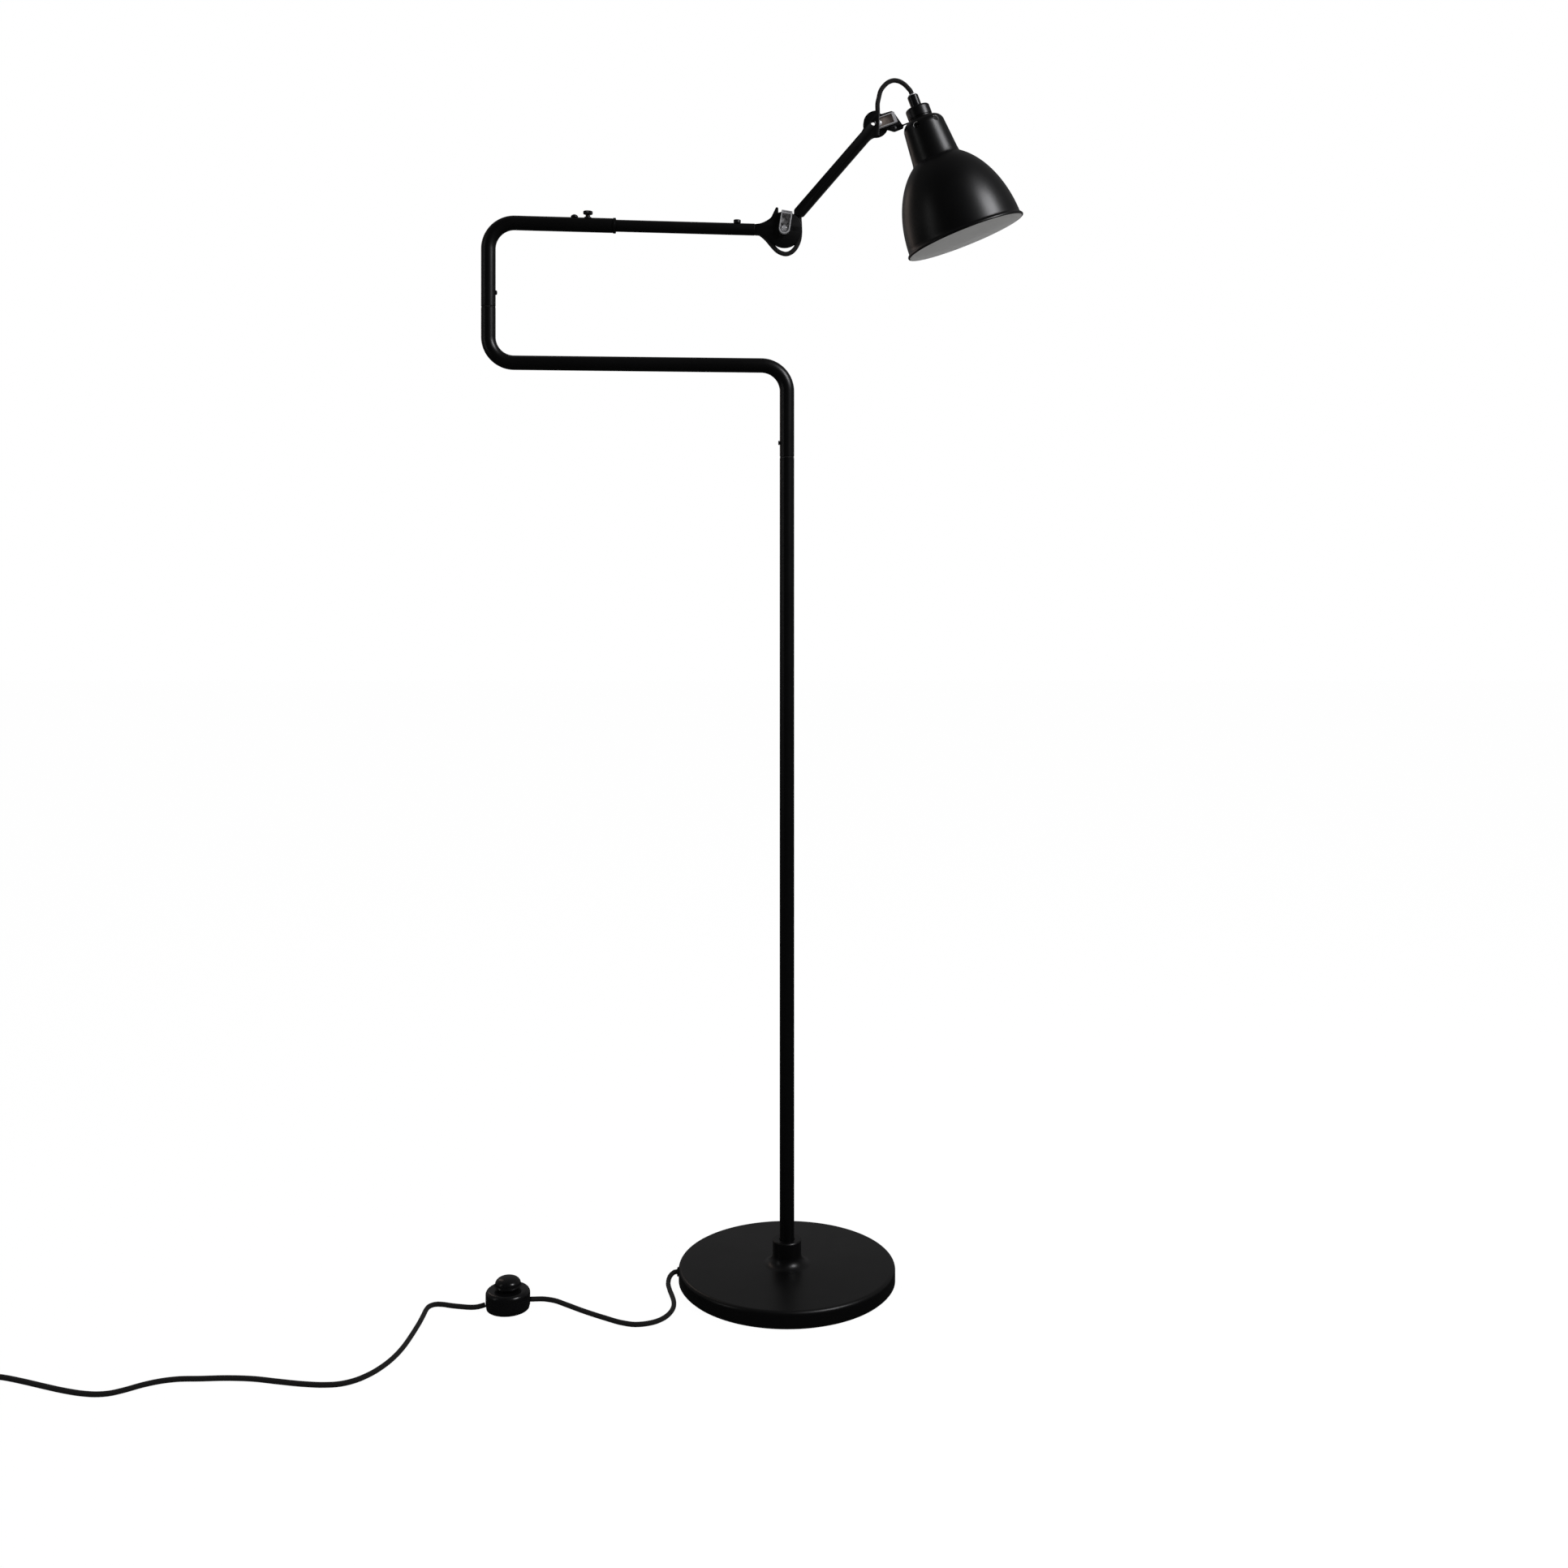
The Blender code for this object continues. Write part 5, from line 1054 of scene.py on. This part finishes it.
def forearm_outline(front):
    """Straight rod, cut back to a shoulder at the elbow and swelling to the eye at the head."""
    half = ARM_HALF_WIDTH
    lean = math.degrees(ARM_LEAN)
    open_at = math.degrees(math.acos(EYE_CUT / EYE_RADIUS))
    neck = ARM_LENGTH - 0.0186
    eye = (ARM_LENGTH, 0)
    points = [(0.0210, 0.0), (0.0208, 0.0035), (0.0241, half), (neck, half), (neck + 0.0040, half + 0.0007)]
    if front:
        points += arc(eye, EYE_RADIUS, 144, open_at - lean, 30)
        points += arc(eye, EYE_RADIUS, -open_at - lean, -144, 6)
    else:
        points += arc(eye, EYE_RADIUS, 144, -144, 64)
    return ease(points + [(neck + 0.0040, -half - 0.0007), (neck, -half), (0.0261, -half)], 0.0016)


for side, label in ((-1, "front"), (1, "back")):
    near, far = sorted((side * ARM_SEAM / 2, side * ARM_FACE))
    outlines = [forearm_outline(side < 0), circle(SIGHT_RADIUS, from_eye(-0.0030, 0.0004))]
    if side > 0:
        outlines.append(circle(HEAD_BOLT_HOLE, from_eye(HEAD_PIVOT.x, HEAD_PIVOT.z)))
    half_arm = pressed("forearm_" + label, outlines, near, far, BLACK_PAINT, along_arm, edge=0.0006)
    cut(half_arm, box_cutter((-0.002, -LEAD_HALF, -0.0054),
                             (ARM_LENGTH - EYE_RADIUS + 0.002, LEAD_HALF, 0.0054), along_arm))
    pocket = [(0, -POCKET_HALF), (POCKET_RADIUS, -POCKET_HALF), (POCKET_RADIUS, POCKET_HALF), (0, POCKET_HALF)]
    in_eye = along_arm @ Matrix.Translation((ARM_LENGTH, 0, 0)) @ Matrix.Rotation(math.pi / 2, 4, "X")
    cut(half_arm, turned("cutter", pocket, BLACK_PAINT, in_eye))
    crease = [along_arm @ Vector((CREASE_FROM + CREASE_LENGTH * i / CREASE_PARTS, side * (ARM_FACE + 0.0009),
                                  -0.0012 - 0.0004 * i / CREASE_PARTS)) for i in range(CREASE_PARTS + 1)]
    taper = [0.0009] + [0.0016] * (CREASE_PARTS - 1) + [0.0009]
    cut(half_arm, round_bar("cutter", crease, taper, BLACK_PAINT, around=24))
    fit(half_arm, "forearm", "black_paint", "forearm_" + label)


# ---------------------------------------------------------------- head bracket and its lever
# A flat painted arm turns on the head bolt in the forearm's eye; its far end is a ring clamped on top of
# the shade. A button-head screw passes through it below the bolt, and the second lever locks the tilt.

PIVOT = joint_place("head_tilt")
HEAD_LEAN = math.radians(20.7)
SHADE_OUT = 0.0473
SHADE_DROP = -0.1591
at_head = Matrix.Translation(PIVOT) @ Matrix.Rotation(-HEAD_LEAN, 4, "Y")
on_shade = at_head @ Matrix.Translation((SHADE_OUT, 0, SHADE_DROP))
NECK_SHOULDER = 0.1358
SHOULDER_RADIUS = 0.0110
SHADE_TOP = NECK_SHOULDER + SHOULDER_RADIUS
RING_LOW = SHADE_TOP + GAP
RING_THICK = 0.0014
RING_HIGH = RING_LOW + RING_THICK
SCREW_OUT = 0.01385
SCREW_DOWN = -0.0114
bracket_outline = arc((0, 0), 0.0050, 80, 250, 24)
bracket_outline += [(0.0086, -0.0115), (0.0135, -0.0152), (0.0245, -0.0150), (0.0262, SHADE_DROP + RING_LOW)]
bracket_outline += [(0.0363, SHADE_DROP + RING_LOW), (0.0363, SHADE_DROP + RING_HIGH),
                    (0.0250, SHADE_DROP + RING_HIGH)]
bracket_outline += [(0.0208, 0.0064), (0.0191, 0.0087), (0.0098, 0.0093), (0.0056, 0.0097), (0.0041, 0.0058)]
bracket_holes = [circle(HEAD_BOLT_HOLE), arc((SCREW_OUT, SCREW_DOWN), 0.0021, 0, 345, 23)]
bracket = pressed("head_bracket", [ease(bracket_outline, 0.0012)] + bracket_holes, 0.0014, 0.0039, BLACK_PAINT,
                  at_head, edge=0.0003)
ring = turned("cutter", ease([(0.0138, RING_LOW), (0.0138, RING_HIGH), (0.0053, RING_HIGH), (0.0053, RING_LOW)],
                             0.0003), BLACK_PAINT, on_shade, steps=72)
cut(bracket, ring, "UNION")
fit(bracket, "head", "black_paint", "head_bracket")
SCREW_SEAT = -0.0011
SCREW_HEAD = 0.0040
button = [(0.0, SCREW_SEAT + 0.0010), (0.0013, SCREW_SEAT + 0.0010), (0.0015, SCREW_SEAT + 0.0019)]
button += [(SCREW_HEAD * math.sin(math.radians(a)), SCREW_SEAT + 0.0004 + 0.0015 * math.cos(math.radians(a)))
           for a in (26, 38, 50, 62, 74, 90)]
button += [(SCREW_HEAD, SCREW_SEAT), (0.0018, SCREW_SEAT), (0.0018, -0.0039), (0.0, -0.0039)]
screw_at = at_head @ Matrix.Translation((SCREW_OUT, 0, SCREW_DOWN)) @ Matrix.Rotation(math.pi / 2, 4, "X")
fit(turned("bracket_screw", button, BLACK_STEEL, screw_at, steps=48), "head", "black_steel", "bracket_screw")

HEAD_FRONT = -0.0039
HEAD_LEVER_DEPTH = 0.0050
HEAD_LEVER_LEAN = math.radians(20)
HEAD_LEVER_NOSE = 0.0049
HEAD_SHANK = 0.0016
flat_lever = Matrix.Translation(PIVOT) @ Matrix.Rotation(-HEAD_LEVER_LEAN, 4, "Y")
head_lever = lever("head_lever", flat_lever, HEAD_FRONT, HEAD_LEVER_DEPTH, HEAD_SHANK, HEAD_LEVER_NOSE,
                   POCKET_SHADE_METAL)
fit(head_lever, "head_lever", "chrome", "head_lever")
head_bolt = bolt("head_bolt", Matrix.Translation(PIVOT), HEAD_SHANK, 0.0034,
                 -(HEAD_FRONT + HEAD_LEVER_DEPTH - LEVER_FLOOR - GAP), -(ARM_FACE + GAP + NUT + NUT_PROUD))
fit(head_bolt, "forearm", "chrome", "head_bolt")


# ---------------------------------------------------------------- shade
# Spun from thin sheet: a bell with a narrow neck and a rolled rim, black outside and white inside, with six
# round vents in its shoulder that show the white of the far wall.

WHITE_ENAMEL = new_finish("white_enamel", SPRAYED,
                          {"Paint": (0.80, 0.80, 0.79, 1.0), "Dust": (0.55, 0.53, 0.49, 1.0), "Dust Amount": 0.15,
                           "Grain": 700.0, "Low Gloss": 0.5, "High Gloss": 0.36}, bump=0.000015)
SHEET = 0.0011
DOME_RADIUS = 0.0681
DOME_HEIGHT = 0.106
DOME_TOP = 0.096
VENTS = 6
VENT_HEIGHT = 0.138
VENT_RADIUS = 0.0037
NECK_TOP_RADIUS = 0.0245
NECK_FOOT_RADIUS = 0.0275
TOP_BORE = 0.0053


def bell(inset, bends, count):
    """One face of the shade from the top down: shoulder, tapered neck, fillet, dome."""
    profile = arc((NECK_TOP_RADIUS - SHOULDER_RADIUS, NECK_SHOULDER), SHOULDER_RADIUS - inset, 90, 0, bends)
    base = NECK_FOOT_RADIUS - inset
    fillet = [(base, 0.1030), (base + 0.00033, 0.1001), (base + 0.00068, 0.0980), (base + 0.00103, 0.0966)]
    profile += [(base - 0.0016, 0.1210)] + fillet
    for i in range(count + 1):
        height = DOME_TOP * math.sin(math.radians(89 - 86 * i / count))
        profile.append(((DOME_RADIUS - inset) * math.sqrt(1 - (height / (DOME_HEIGHT - inset)) ** 2), height))
    return profile


outside = [(TOP_BORE, SHADE_TOP)] + bell(0.0, 14, 46)
rolled_rim = [(0.0684, 0.0042), (0.0696, 0.0034), (0.0703, 0.0024), (0.0706, 0.0014), (0.0703, 0.0005),
              (0.0696, 0.0001), (0.0687, 0.0002), (0.0681, 0.0010)]
inside = bell(SHEET, 10, 40)[::-1] + [(TOP_BORE, SHADE_TOP - SHEET)]
white_from = len(outside) + len(rolled_rim) - 2
shade = turned("shade", outside + rolled_rim + inside, [BLACK_PAINT, WHITE_ENAMEL], on_shade, steps=192, sharp=40.0,
               inlay_from=white_from)
rise = math.asin((VENT_HEIGHT - NECK_SHOULDER) / SHOULDER_RADIUS)
reach = 0.0135 + SHOULDER_RADIUS * math.cos(rise)
vent_tool = [(0, 0.034), (VENT_RADIUS, 0.034), (VENT_RADIUS, 0.012), (0, 0.012)]
for number in range(VENTS):
    around = math.radians(2.5 + 360 / VENTS * number)
    aim = on_shade @ Matrix.Translation((0, 0, VENT_HEIGHT - reach * math.tan(rise)))
    aim = aim @ Matrix.Rotation(around, 4, "Z") @ Matrix.Rotation(math.pi / 2 - rise, 4, "Y")
    cut(shade, turned("cutter", vent_tool, WHITE_ENAMEL, aim, steps=40))
shade.data.set_sharp_from_angle(angle=math.radians(40))
fit(shade, "head", "shade_paint", "shade")


# ---------------------------------------------------------------- socket cap, cable cap and lampholder
# A turned and painted cap clamps the bracket's ring; the lead goes in through a plastic cable cap with a
# bright ferrule, and the moulded lampholder hangs inside the neck with its screw ring.

PLASTIC = new_finish("black_plastic", SPRAYED,
                     {"Paint": (0.0045, 0.0045, 0.005, 1.0), "Dust": (0.03, 0.03, 0.03, 1.0), "Dust Amount": 0.02,
                      "Grain": 500.0, "Low Gloss": 0.26, "High Gloss": 0.20}, bump=0.000003)
CAP_WALL = 0.0014
CAP_LOW = RING_HIGH + GAP
CAP_HIGH = CAP_LOW + 0.0125
cap = [(TOP_BORE, CAP_HIGH)] + arc((0.0111, CAP_HIGH - 0.0032), 0.0032, 90, 0, 10)
cap += [(0.0143, CAP_LOW + 0.0003), (0.0141, CAP_LOW), (0.0129, CAP_LOW), (0.0127, CAP_HIGH - CAP_WALL),
        (TOP_BORE, CAP_HIGH - CAP_WALL)]
fit(turned("socket_cap", cap, BLACK_PAINT, on_shade, steps=96), "head", "black_paint", "socket_cap")
CABLE_LOW = CAP_HIGH + GAP
CABLE_HIGH = CABLE_LOW + 0.0152
cable = [(0.0031, CABLE_HIGH - 0.0018), (0.0036, CABLE_HIGH - 0.0014), (0.0056, CABLE_HIGH - 0.0014),
         (0.0062, CABLE_HIGH - 0.0020), (0.0064, CABLE_HIGH - 0.0030), (0.0064, CABLE_LOW + 0.0012),
         (0.0066, CABLE_LOW + 0.0004), (0.0064, CABLE_LOW), (0.0053, CABLE_LOW), (0.0053, CABLE_HIGH - 0.0090),
         (0.0031, CABLE_HIGH - 0.0090)]
fit(turned("cable_cap", cable, PLASTIC, on_shade, steps=64), "head", "black_plastic", "cable_cap")
ferrule = ease([(0.0030, CABLE_HIGH - 0.0030), (0.0030, CABLE_HIGH), (0.0044, CABLE_HIGH),
                (0.0047, CABLE_HIGH - 0.0014), (0.0040, CABLE_HIGH - 0.0015)], 0.0003)
fit(turned("lead_ferrule", ferrule, CHROME, on_shade, steps=56), "head", "chrome")
HOLDER_TOP = CABLE_HIGH - 0.0093
holder = [(0.0050, HOLDER_TOP), (0.0050, SHADE_TOP - 0.0014), (0.0105, SHADE_TOP - 0.0014),
          (0.0120, SHADE_TOP - 0.0020), (0.0125, SHADE_TOP - 0.0034), (0.0125, 0.0850), (0.0121, 0.0840),
          (0.0085, 0.0840), (0.0085, 0.1180), (0.0030, 0.1180), (0.0030, HOLDER_TOP)]


def grip_ribs(angle, radius, height):
    """Ribs round the outside of the lampholder's ring."""
    return ridges(angle, 0.0003, 36) if radius > 0.0155 else 0.0


fit(turned("lampholder", holder, PLASTIC, on_shade, steps=64), "head", "black_plastic", "lampholder")
holder_ring = [(0.0128, 0.1060), (0.0157, 0.1060), (0.0157, 0.1095), (0.0128, 0.1095)]
fit(turned("lampholder_ring", holder_ring, PLASTIC, on_shade, steps=144, ripple=grip_ribs), "head", "black_plastic",
    "lampholder_ring")


# ---------------------------------------------------------------- lamp bulb
# Small blown ball of opal glass, cemented into a threaded brass cap that screws up into the holder.
# Its top faces the mouth of the shade.

OPAL = new_finish("opal_glass", SPRAYED, {"Paint": (0.86, 0.86, 0.84, 1.0), "Dust": (0.7, 0.7, 0.68, 1.0),
                                          "Dust Amount": 0.1, "Grain": 200.0, "Low Gloss": 0.2, "High Gloss": 0.10},
                  bump=0.000004, Subsurface_Weight=0.2)
BRASS = new_finish("brass", WORKED, {"Metal": (0.62, 0.45, 0.20, 1.0), "Tarnish And Painted Shade": (0.35, 0.24, 0.10, 1.0),
                                     "Tarnish And Painted Shade Amount": 0.5, "Cloud": 240.0, "Dull": 0.40, "Bright": 0.24},
                   bump=0.00002, Metallic=1.0)
BULB_RADIUS = 0.0225
BULB_CENTRE = 0.052
glass = arc((0, BULB_CENTRE), BULB_RADIUS, 62, -90, 40)
glass[-1] = (0.0, BULB_CENTRE - BULB_RADIUS)
screw_cap = [(0.0, 0.1120), (0.0030, 0.1118), (0.0040, 0.1105)]
for turn in range(6):
    screw_cap += [(0.0070, 0.1085 - 0.0034 * turn), (0.0066, 0.1068 - 0.0034 * turn)]
bulb_profile = screw_cap + [(0.0070, 0.0870), (0.0082, 0.0800), (0.0092, 0.0755)] + glass
brass_faces = len(screw_cap)
bulb = turned("bulb", bulb_profile, [BRASS, OPAL], on_shade, steps=72, sharp=50.0, inlay_from=brass_faces)
fit(bulb, "head", "opal_glass", "bulb")


# ---------------------------------------------------------------- leads at the joints
# The same braided lead leaves the elbow's root, hangs in a slack loop below the elbow and goes into the
# forearm; at the top it comes out of the eye and arches over to the cable cap.

LEAD_STEP = 0.0015
ELBOW_LOOP = [
    (-0.0330, -0.0031), (-0.0290, -0.0040), (-0.0250, -0.0066), (-0.0207, -0.0104), (-0.0163, -0.0156),
    (-0.0124, -0.0202), (-0.0080, -0.0244), (-0.0030, -0.0270), (0.0015, -0.0279), (0.0066, -0.0266),
    (0.0111, -0.0230), (0.0150, -0.0168), (0.0172, -0.0102), (0.0179, -0.0040), (0.0178, 0.0040),
    (0.0175, 0.0100), (0.0173, 0.0133), (0.0175, 0.0165), (0.0190, 0.0194), (0.0218, 0.0227),
]
HEAD_LOOP = [
    (0.0022, 0.0088), (0.0020, 0.0160), (0.0020, 0.0245), (0.0034, 0.0309), (0.0055, 0.0388),
    (0.0103, 0.0454), (0.0147, 0.0489), (0.0205, 0.0507), (0.0270, 0.0497), (0.0329, 0.0462),
    (0.0373, 0.0418), (0.0400, 0.0386), (0.0416, 0.0345), (0.0444, 0.0272),
]


def lead(name, origin, loop):
    """A slack piece of the lead between two bodies; it leaves one and goes back into the other."""
    path = smooth_route([origin + Vector((x, 0, z)) for x, z in loop], LEAD_STEP)
    piece = round_bar(name, path, CORD_RADIUS, TEXTILE, around=28)
    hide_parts(name)
    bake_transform(piece)


lead("elbow_lead", ELBOW, ELBOW_LOOP)
lead("head_lead", EYE, HEAD_LOOP)


# ---------------------------------------------------------------- foot switch
# Moulded round housing in two halves with the lead through it, and a mushroom push button that a small
# spring holds up.

SWITCH_AT = (-0.3112, -0.0697)
SWITCH_TURN = math.radians(16)
SWITCH = Matrix.Translation((*SWITCH_AT, 0)) @ Matrix.Rotation(SWITCH_TURN, 4, "Z")
SWITCH_RADIUS = 0.0246
SWITCH_TOP = 0.0210
SWITCH_ROUND = 0.005
SWITCH_INNER_ROUND = 0.0032
PORT_HEIGHT = 0.0062
PORT_RADIUS = 0.0030
round_at = (SWITCH_RADIUS - SWITCH_ROUND, SWITCH_TOP - SWITCH_ROUND)
cover = [(0.0109, SWITCH_TOP - 0.0018), (0.0109, SWITCH_TOP - 0.0003), (0.0112, SWITCH_TOP)]
cover += arc(round_at, SWITCH_ROUND, 90, 0, 12)
cover += [(SWITCH_RADIUS, 0.0037), (SWITCH_RADIUS - 0.0003, 0.0033), (SWITCH_RADIUS - 0.0018, 0.0033)]
cover += arc(round_at, SWITCH_INNER_ROUND, 0, 90, 8)
switch_cover = turned("switch_cover", cover, PLASTIC, SWITCH, steps=96)
through = SWITCH @ Matrix.Translation((0, 0, PORT_HEIGHT)) @ Matrix.Rotation(math.pi / 2, 4, "Y")


def ports():
    """The tool for the two holes that the lead passes through."""
    profile = [(0, -0.03), (PORT_RADIUS, -0.03), (PORT_RADIUS, 0.03), (0, 0.03)]
    return turned("cutter", profile, PLASTIC, through, steps=32)


cut(switch_cover, ports())
fit(switch_cover, "stand", "black_plastic", "switch_cover")
housing = [(0.0, 0.0018), (0.0213, 0.0018), (0.0213, 0.0070), (0.0225, 0.0070), (0.0225, 0.0030),
           (0.0236, 0.0030), (0.0238, 0.0028), (0.0238, 0.0005), (0.0235, 0.0002), (0.0, 0.0002)]
switch_base = turned("switch_base", housing, PLASTIC, SWITCH, steps=96)
cut(switch_base, ports())
fit(switch_base, "stand", "black_plastic", "switch_base")
BUTTON = 0.0152
BUTTON_TOP = 0.0345
SKIRT = 0.0243
STEM_LOW = SKIRT - 0.0105
button_profile = [(0.0, BUTTON_TOP)]
for step in range(6, 86, 6):
    slope = math.radians(step)
    button_profile.append((0.0143 * math.sin(slope) ** 0.85, SKIRT + 0.0022 + 0.0080 * math.cos(slope) ** 0.9))
button_profile += [(0.0144, SKIRT + 0.0021), (0.0149, SKIRT + 0.0014), (BUTTON, SKIRT + 0.0008),
                   (0.0150, SKIRT + 0.0002), (0.0144, SKIRT), (0.0105, SKIRT), (0.0105, STEM_LOW),
                   (0.0085, STEM_LOW), (0.0085, SKIRT - 0.0025), (0.0, SKIRT - 0.0025)]
fit(turned("switch_button", button_profile, PLASTIC, SWITCH, steps=96), "switch_button", "black_plastic",
    "switch_button")
SPRING_RADIUS = 0.0052
SPRING_FOOT = 0.0026
SPRING_HEIGHT = 0.0184
SPRING_TURNS = 5
SPRING_STEPS = 32
SPRING_WIRE = 0.0005
coils = [SWITCH @ Vector((SPRING_RADIUS * math.cos(TAU * step / SPRING_STEPS),
                          SPRING_RADIUS * math.sin(TAU * step / SPRING_STEPS),
                          SPRING_FOOT + SPRING_HEIGHT * step / (SPRING_STEPS * SPRING_TURNS)))
         for step in range(SPRING_STEPS * SPRING_TURNS + 1)]
spring = round_bar("switch_spring", coils, SPRING_WIRE, ZINC, around=10)
fit(spring, "stand", "zinc", "switch_spring")
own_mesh(spring)


# ---------------------------------------------------------------- plug and tie
# Flat two-pin plug in black plastic with turned brass pins, and a ribbed rubber boot on the lead behind it.
# A square band of rubber ties the stored coil.

PLUG_X = -0.8807
PLUG_Z = 0.00705
BOOT_Y = -0.2930
BOOT_LENGTH = 0.0240
RIBS = 5
RIB_PITCH = 0.0042
boot = [(0.0, 0.0), (0.0028, 0.0), (0.0034, -0.0006)]
for rib in range(RIBS):
    grow = 0.00030 * rib
    start = -0.0018 - RIB_PITCH * rib
    boot += [(0.0036 + grow, start), (0.0038 + grow, start - 0.0022), (0.0031 + grow, start - 0.0026),
             (0.0031 + grow, start - 0.0038)]
boot += [(0.0052, -0.0228), (0.0052, -BOOT_LENGTH), (0.0, -BOOT_LENGTH)]
backward = Matrix.Translation((PLUG_X, BOOT_Y, PLUG_Z)) @ Matrix.Rotation(-math.pi / 2, 4, "X")
plug_boot = turned("plug_boot", boot, RUBBER, backward, steps=48)
fit(plug_boot, "stand", "black_rubber", "plug_boot")
PLUG_TOP = BOOT_Y - BOOT_LENGTH - GAP
PLUG_LENGTH = 0.0360
HALF = 0.01765
HALF_THICK = 0.00685
PIN_OUT = 0.0093
PIN_RADIUS = 0.0020
plug_outline = [(-0.0065, 0.0), (-HALF, -0.0190), (-HALF, -0.0330), (-HALF + 0.003, -PLUG_LENGTH),
                (HALF - 0.003, -PLUG_LENGTH), (HALF, -0.0330), (HALF, -0.0190), (0.0065, 0.0)]
lying = Matrix.Translation((PLUG_X, PLUG_TOP, PLUG_Z)) @ Matrix.Rotation(-math.pi / 2, 4, "X")
plug_outline = [(x, -y) for x, y in ease(plug_outline, 0.004, steps=6)]
plug_body = pressed("plug_body", [plug_outline], -HALF_THICK, HALF_THICK, PLASTIC,
                    lying @ Matrix.Rotation(math.pi, 4, "X"), edge=0.0022, sharp=35.0)
fit(plug_body, "stand", "black_plastic", "plug_body")
pin = [(0.0, 0.0), (PIN_RADIUS, 0.0), (PIN_RADIUS, -0.0172)]
pin += [(PIN_RADIUS * math.cos(math.radians(a)), -0.0170 - PIN_RADIUS * math.sin(math.radians(a)))
        for a in (20, 40, 60, 80)]
pin += [(0.0, -0.0190)]
for side, label in ((-1, "left"), (1, "right")):
    pin_at = Matrix.Translation((PLUG_X + side * PIN_OUT, PLUG_TOP - PLUG_LENGTH - GAP, PLUG_Z))
    pin_piece = turned("plug_pin_" + label, pin, BRASS, pin_at @ Matrix.Rotation(-math.pi / 2, 4, "X"), steps=32)
    fit(pin_piece, "stand", "brass", "plug_pin_" + label)
tie_at = Matrix.Translation((COIL_MIDDLE[0], COIL_MIDDLE[1] - 0.030, 0.00625))
tie_loops = [ease([(-s, -s), (s, -s), (s, s), (-s, s)], 0.003, steps=8) for s in (0.00615, 0.00575)]
tie = pressed("cord_tie", tie_loops, -0.003, 0.003, RUBBER, tie_at @ Matrix.Rotation(math.pi / 2, 4, "Z"),
              edge=0.0001, sharp=35.0)
fit(tie, "stand", "black_rubber", "cord_tie")
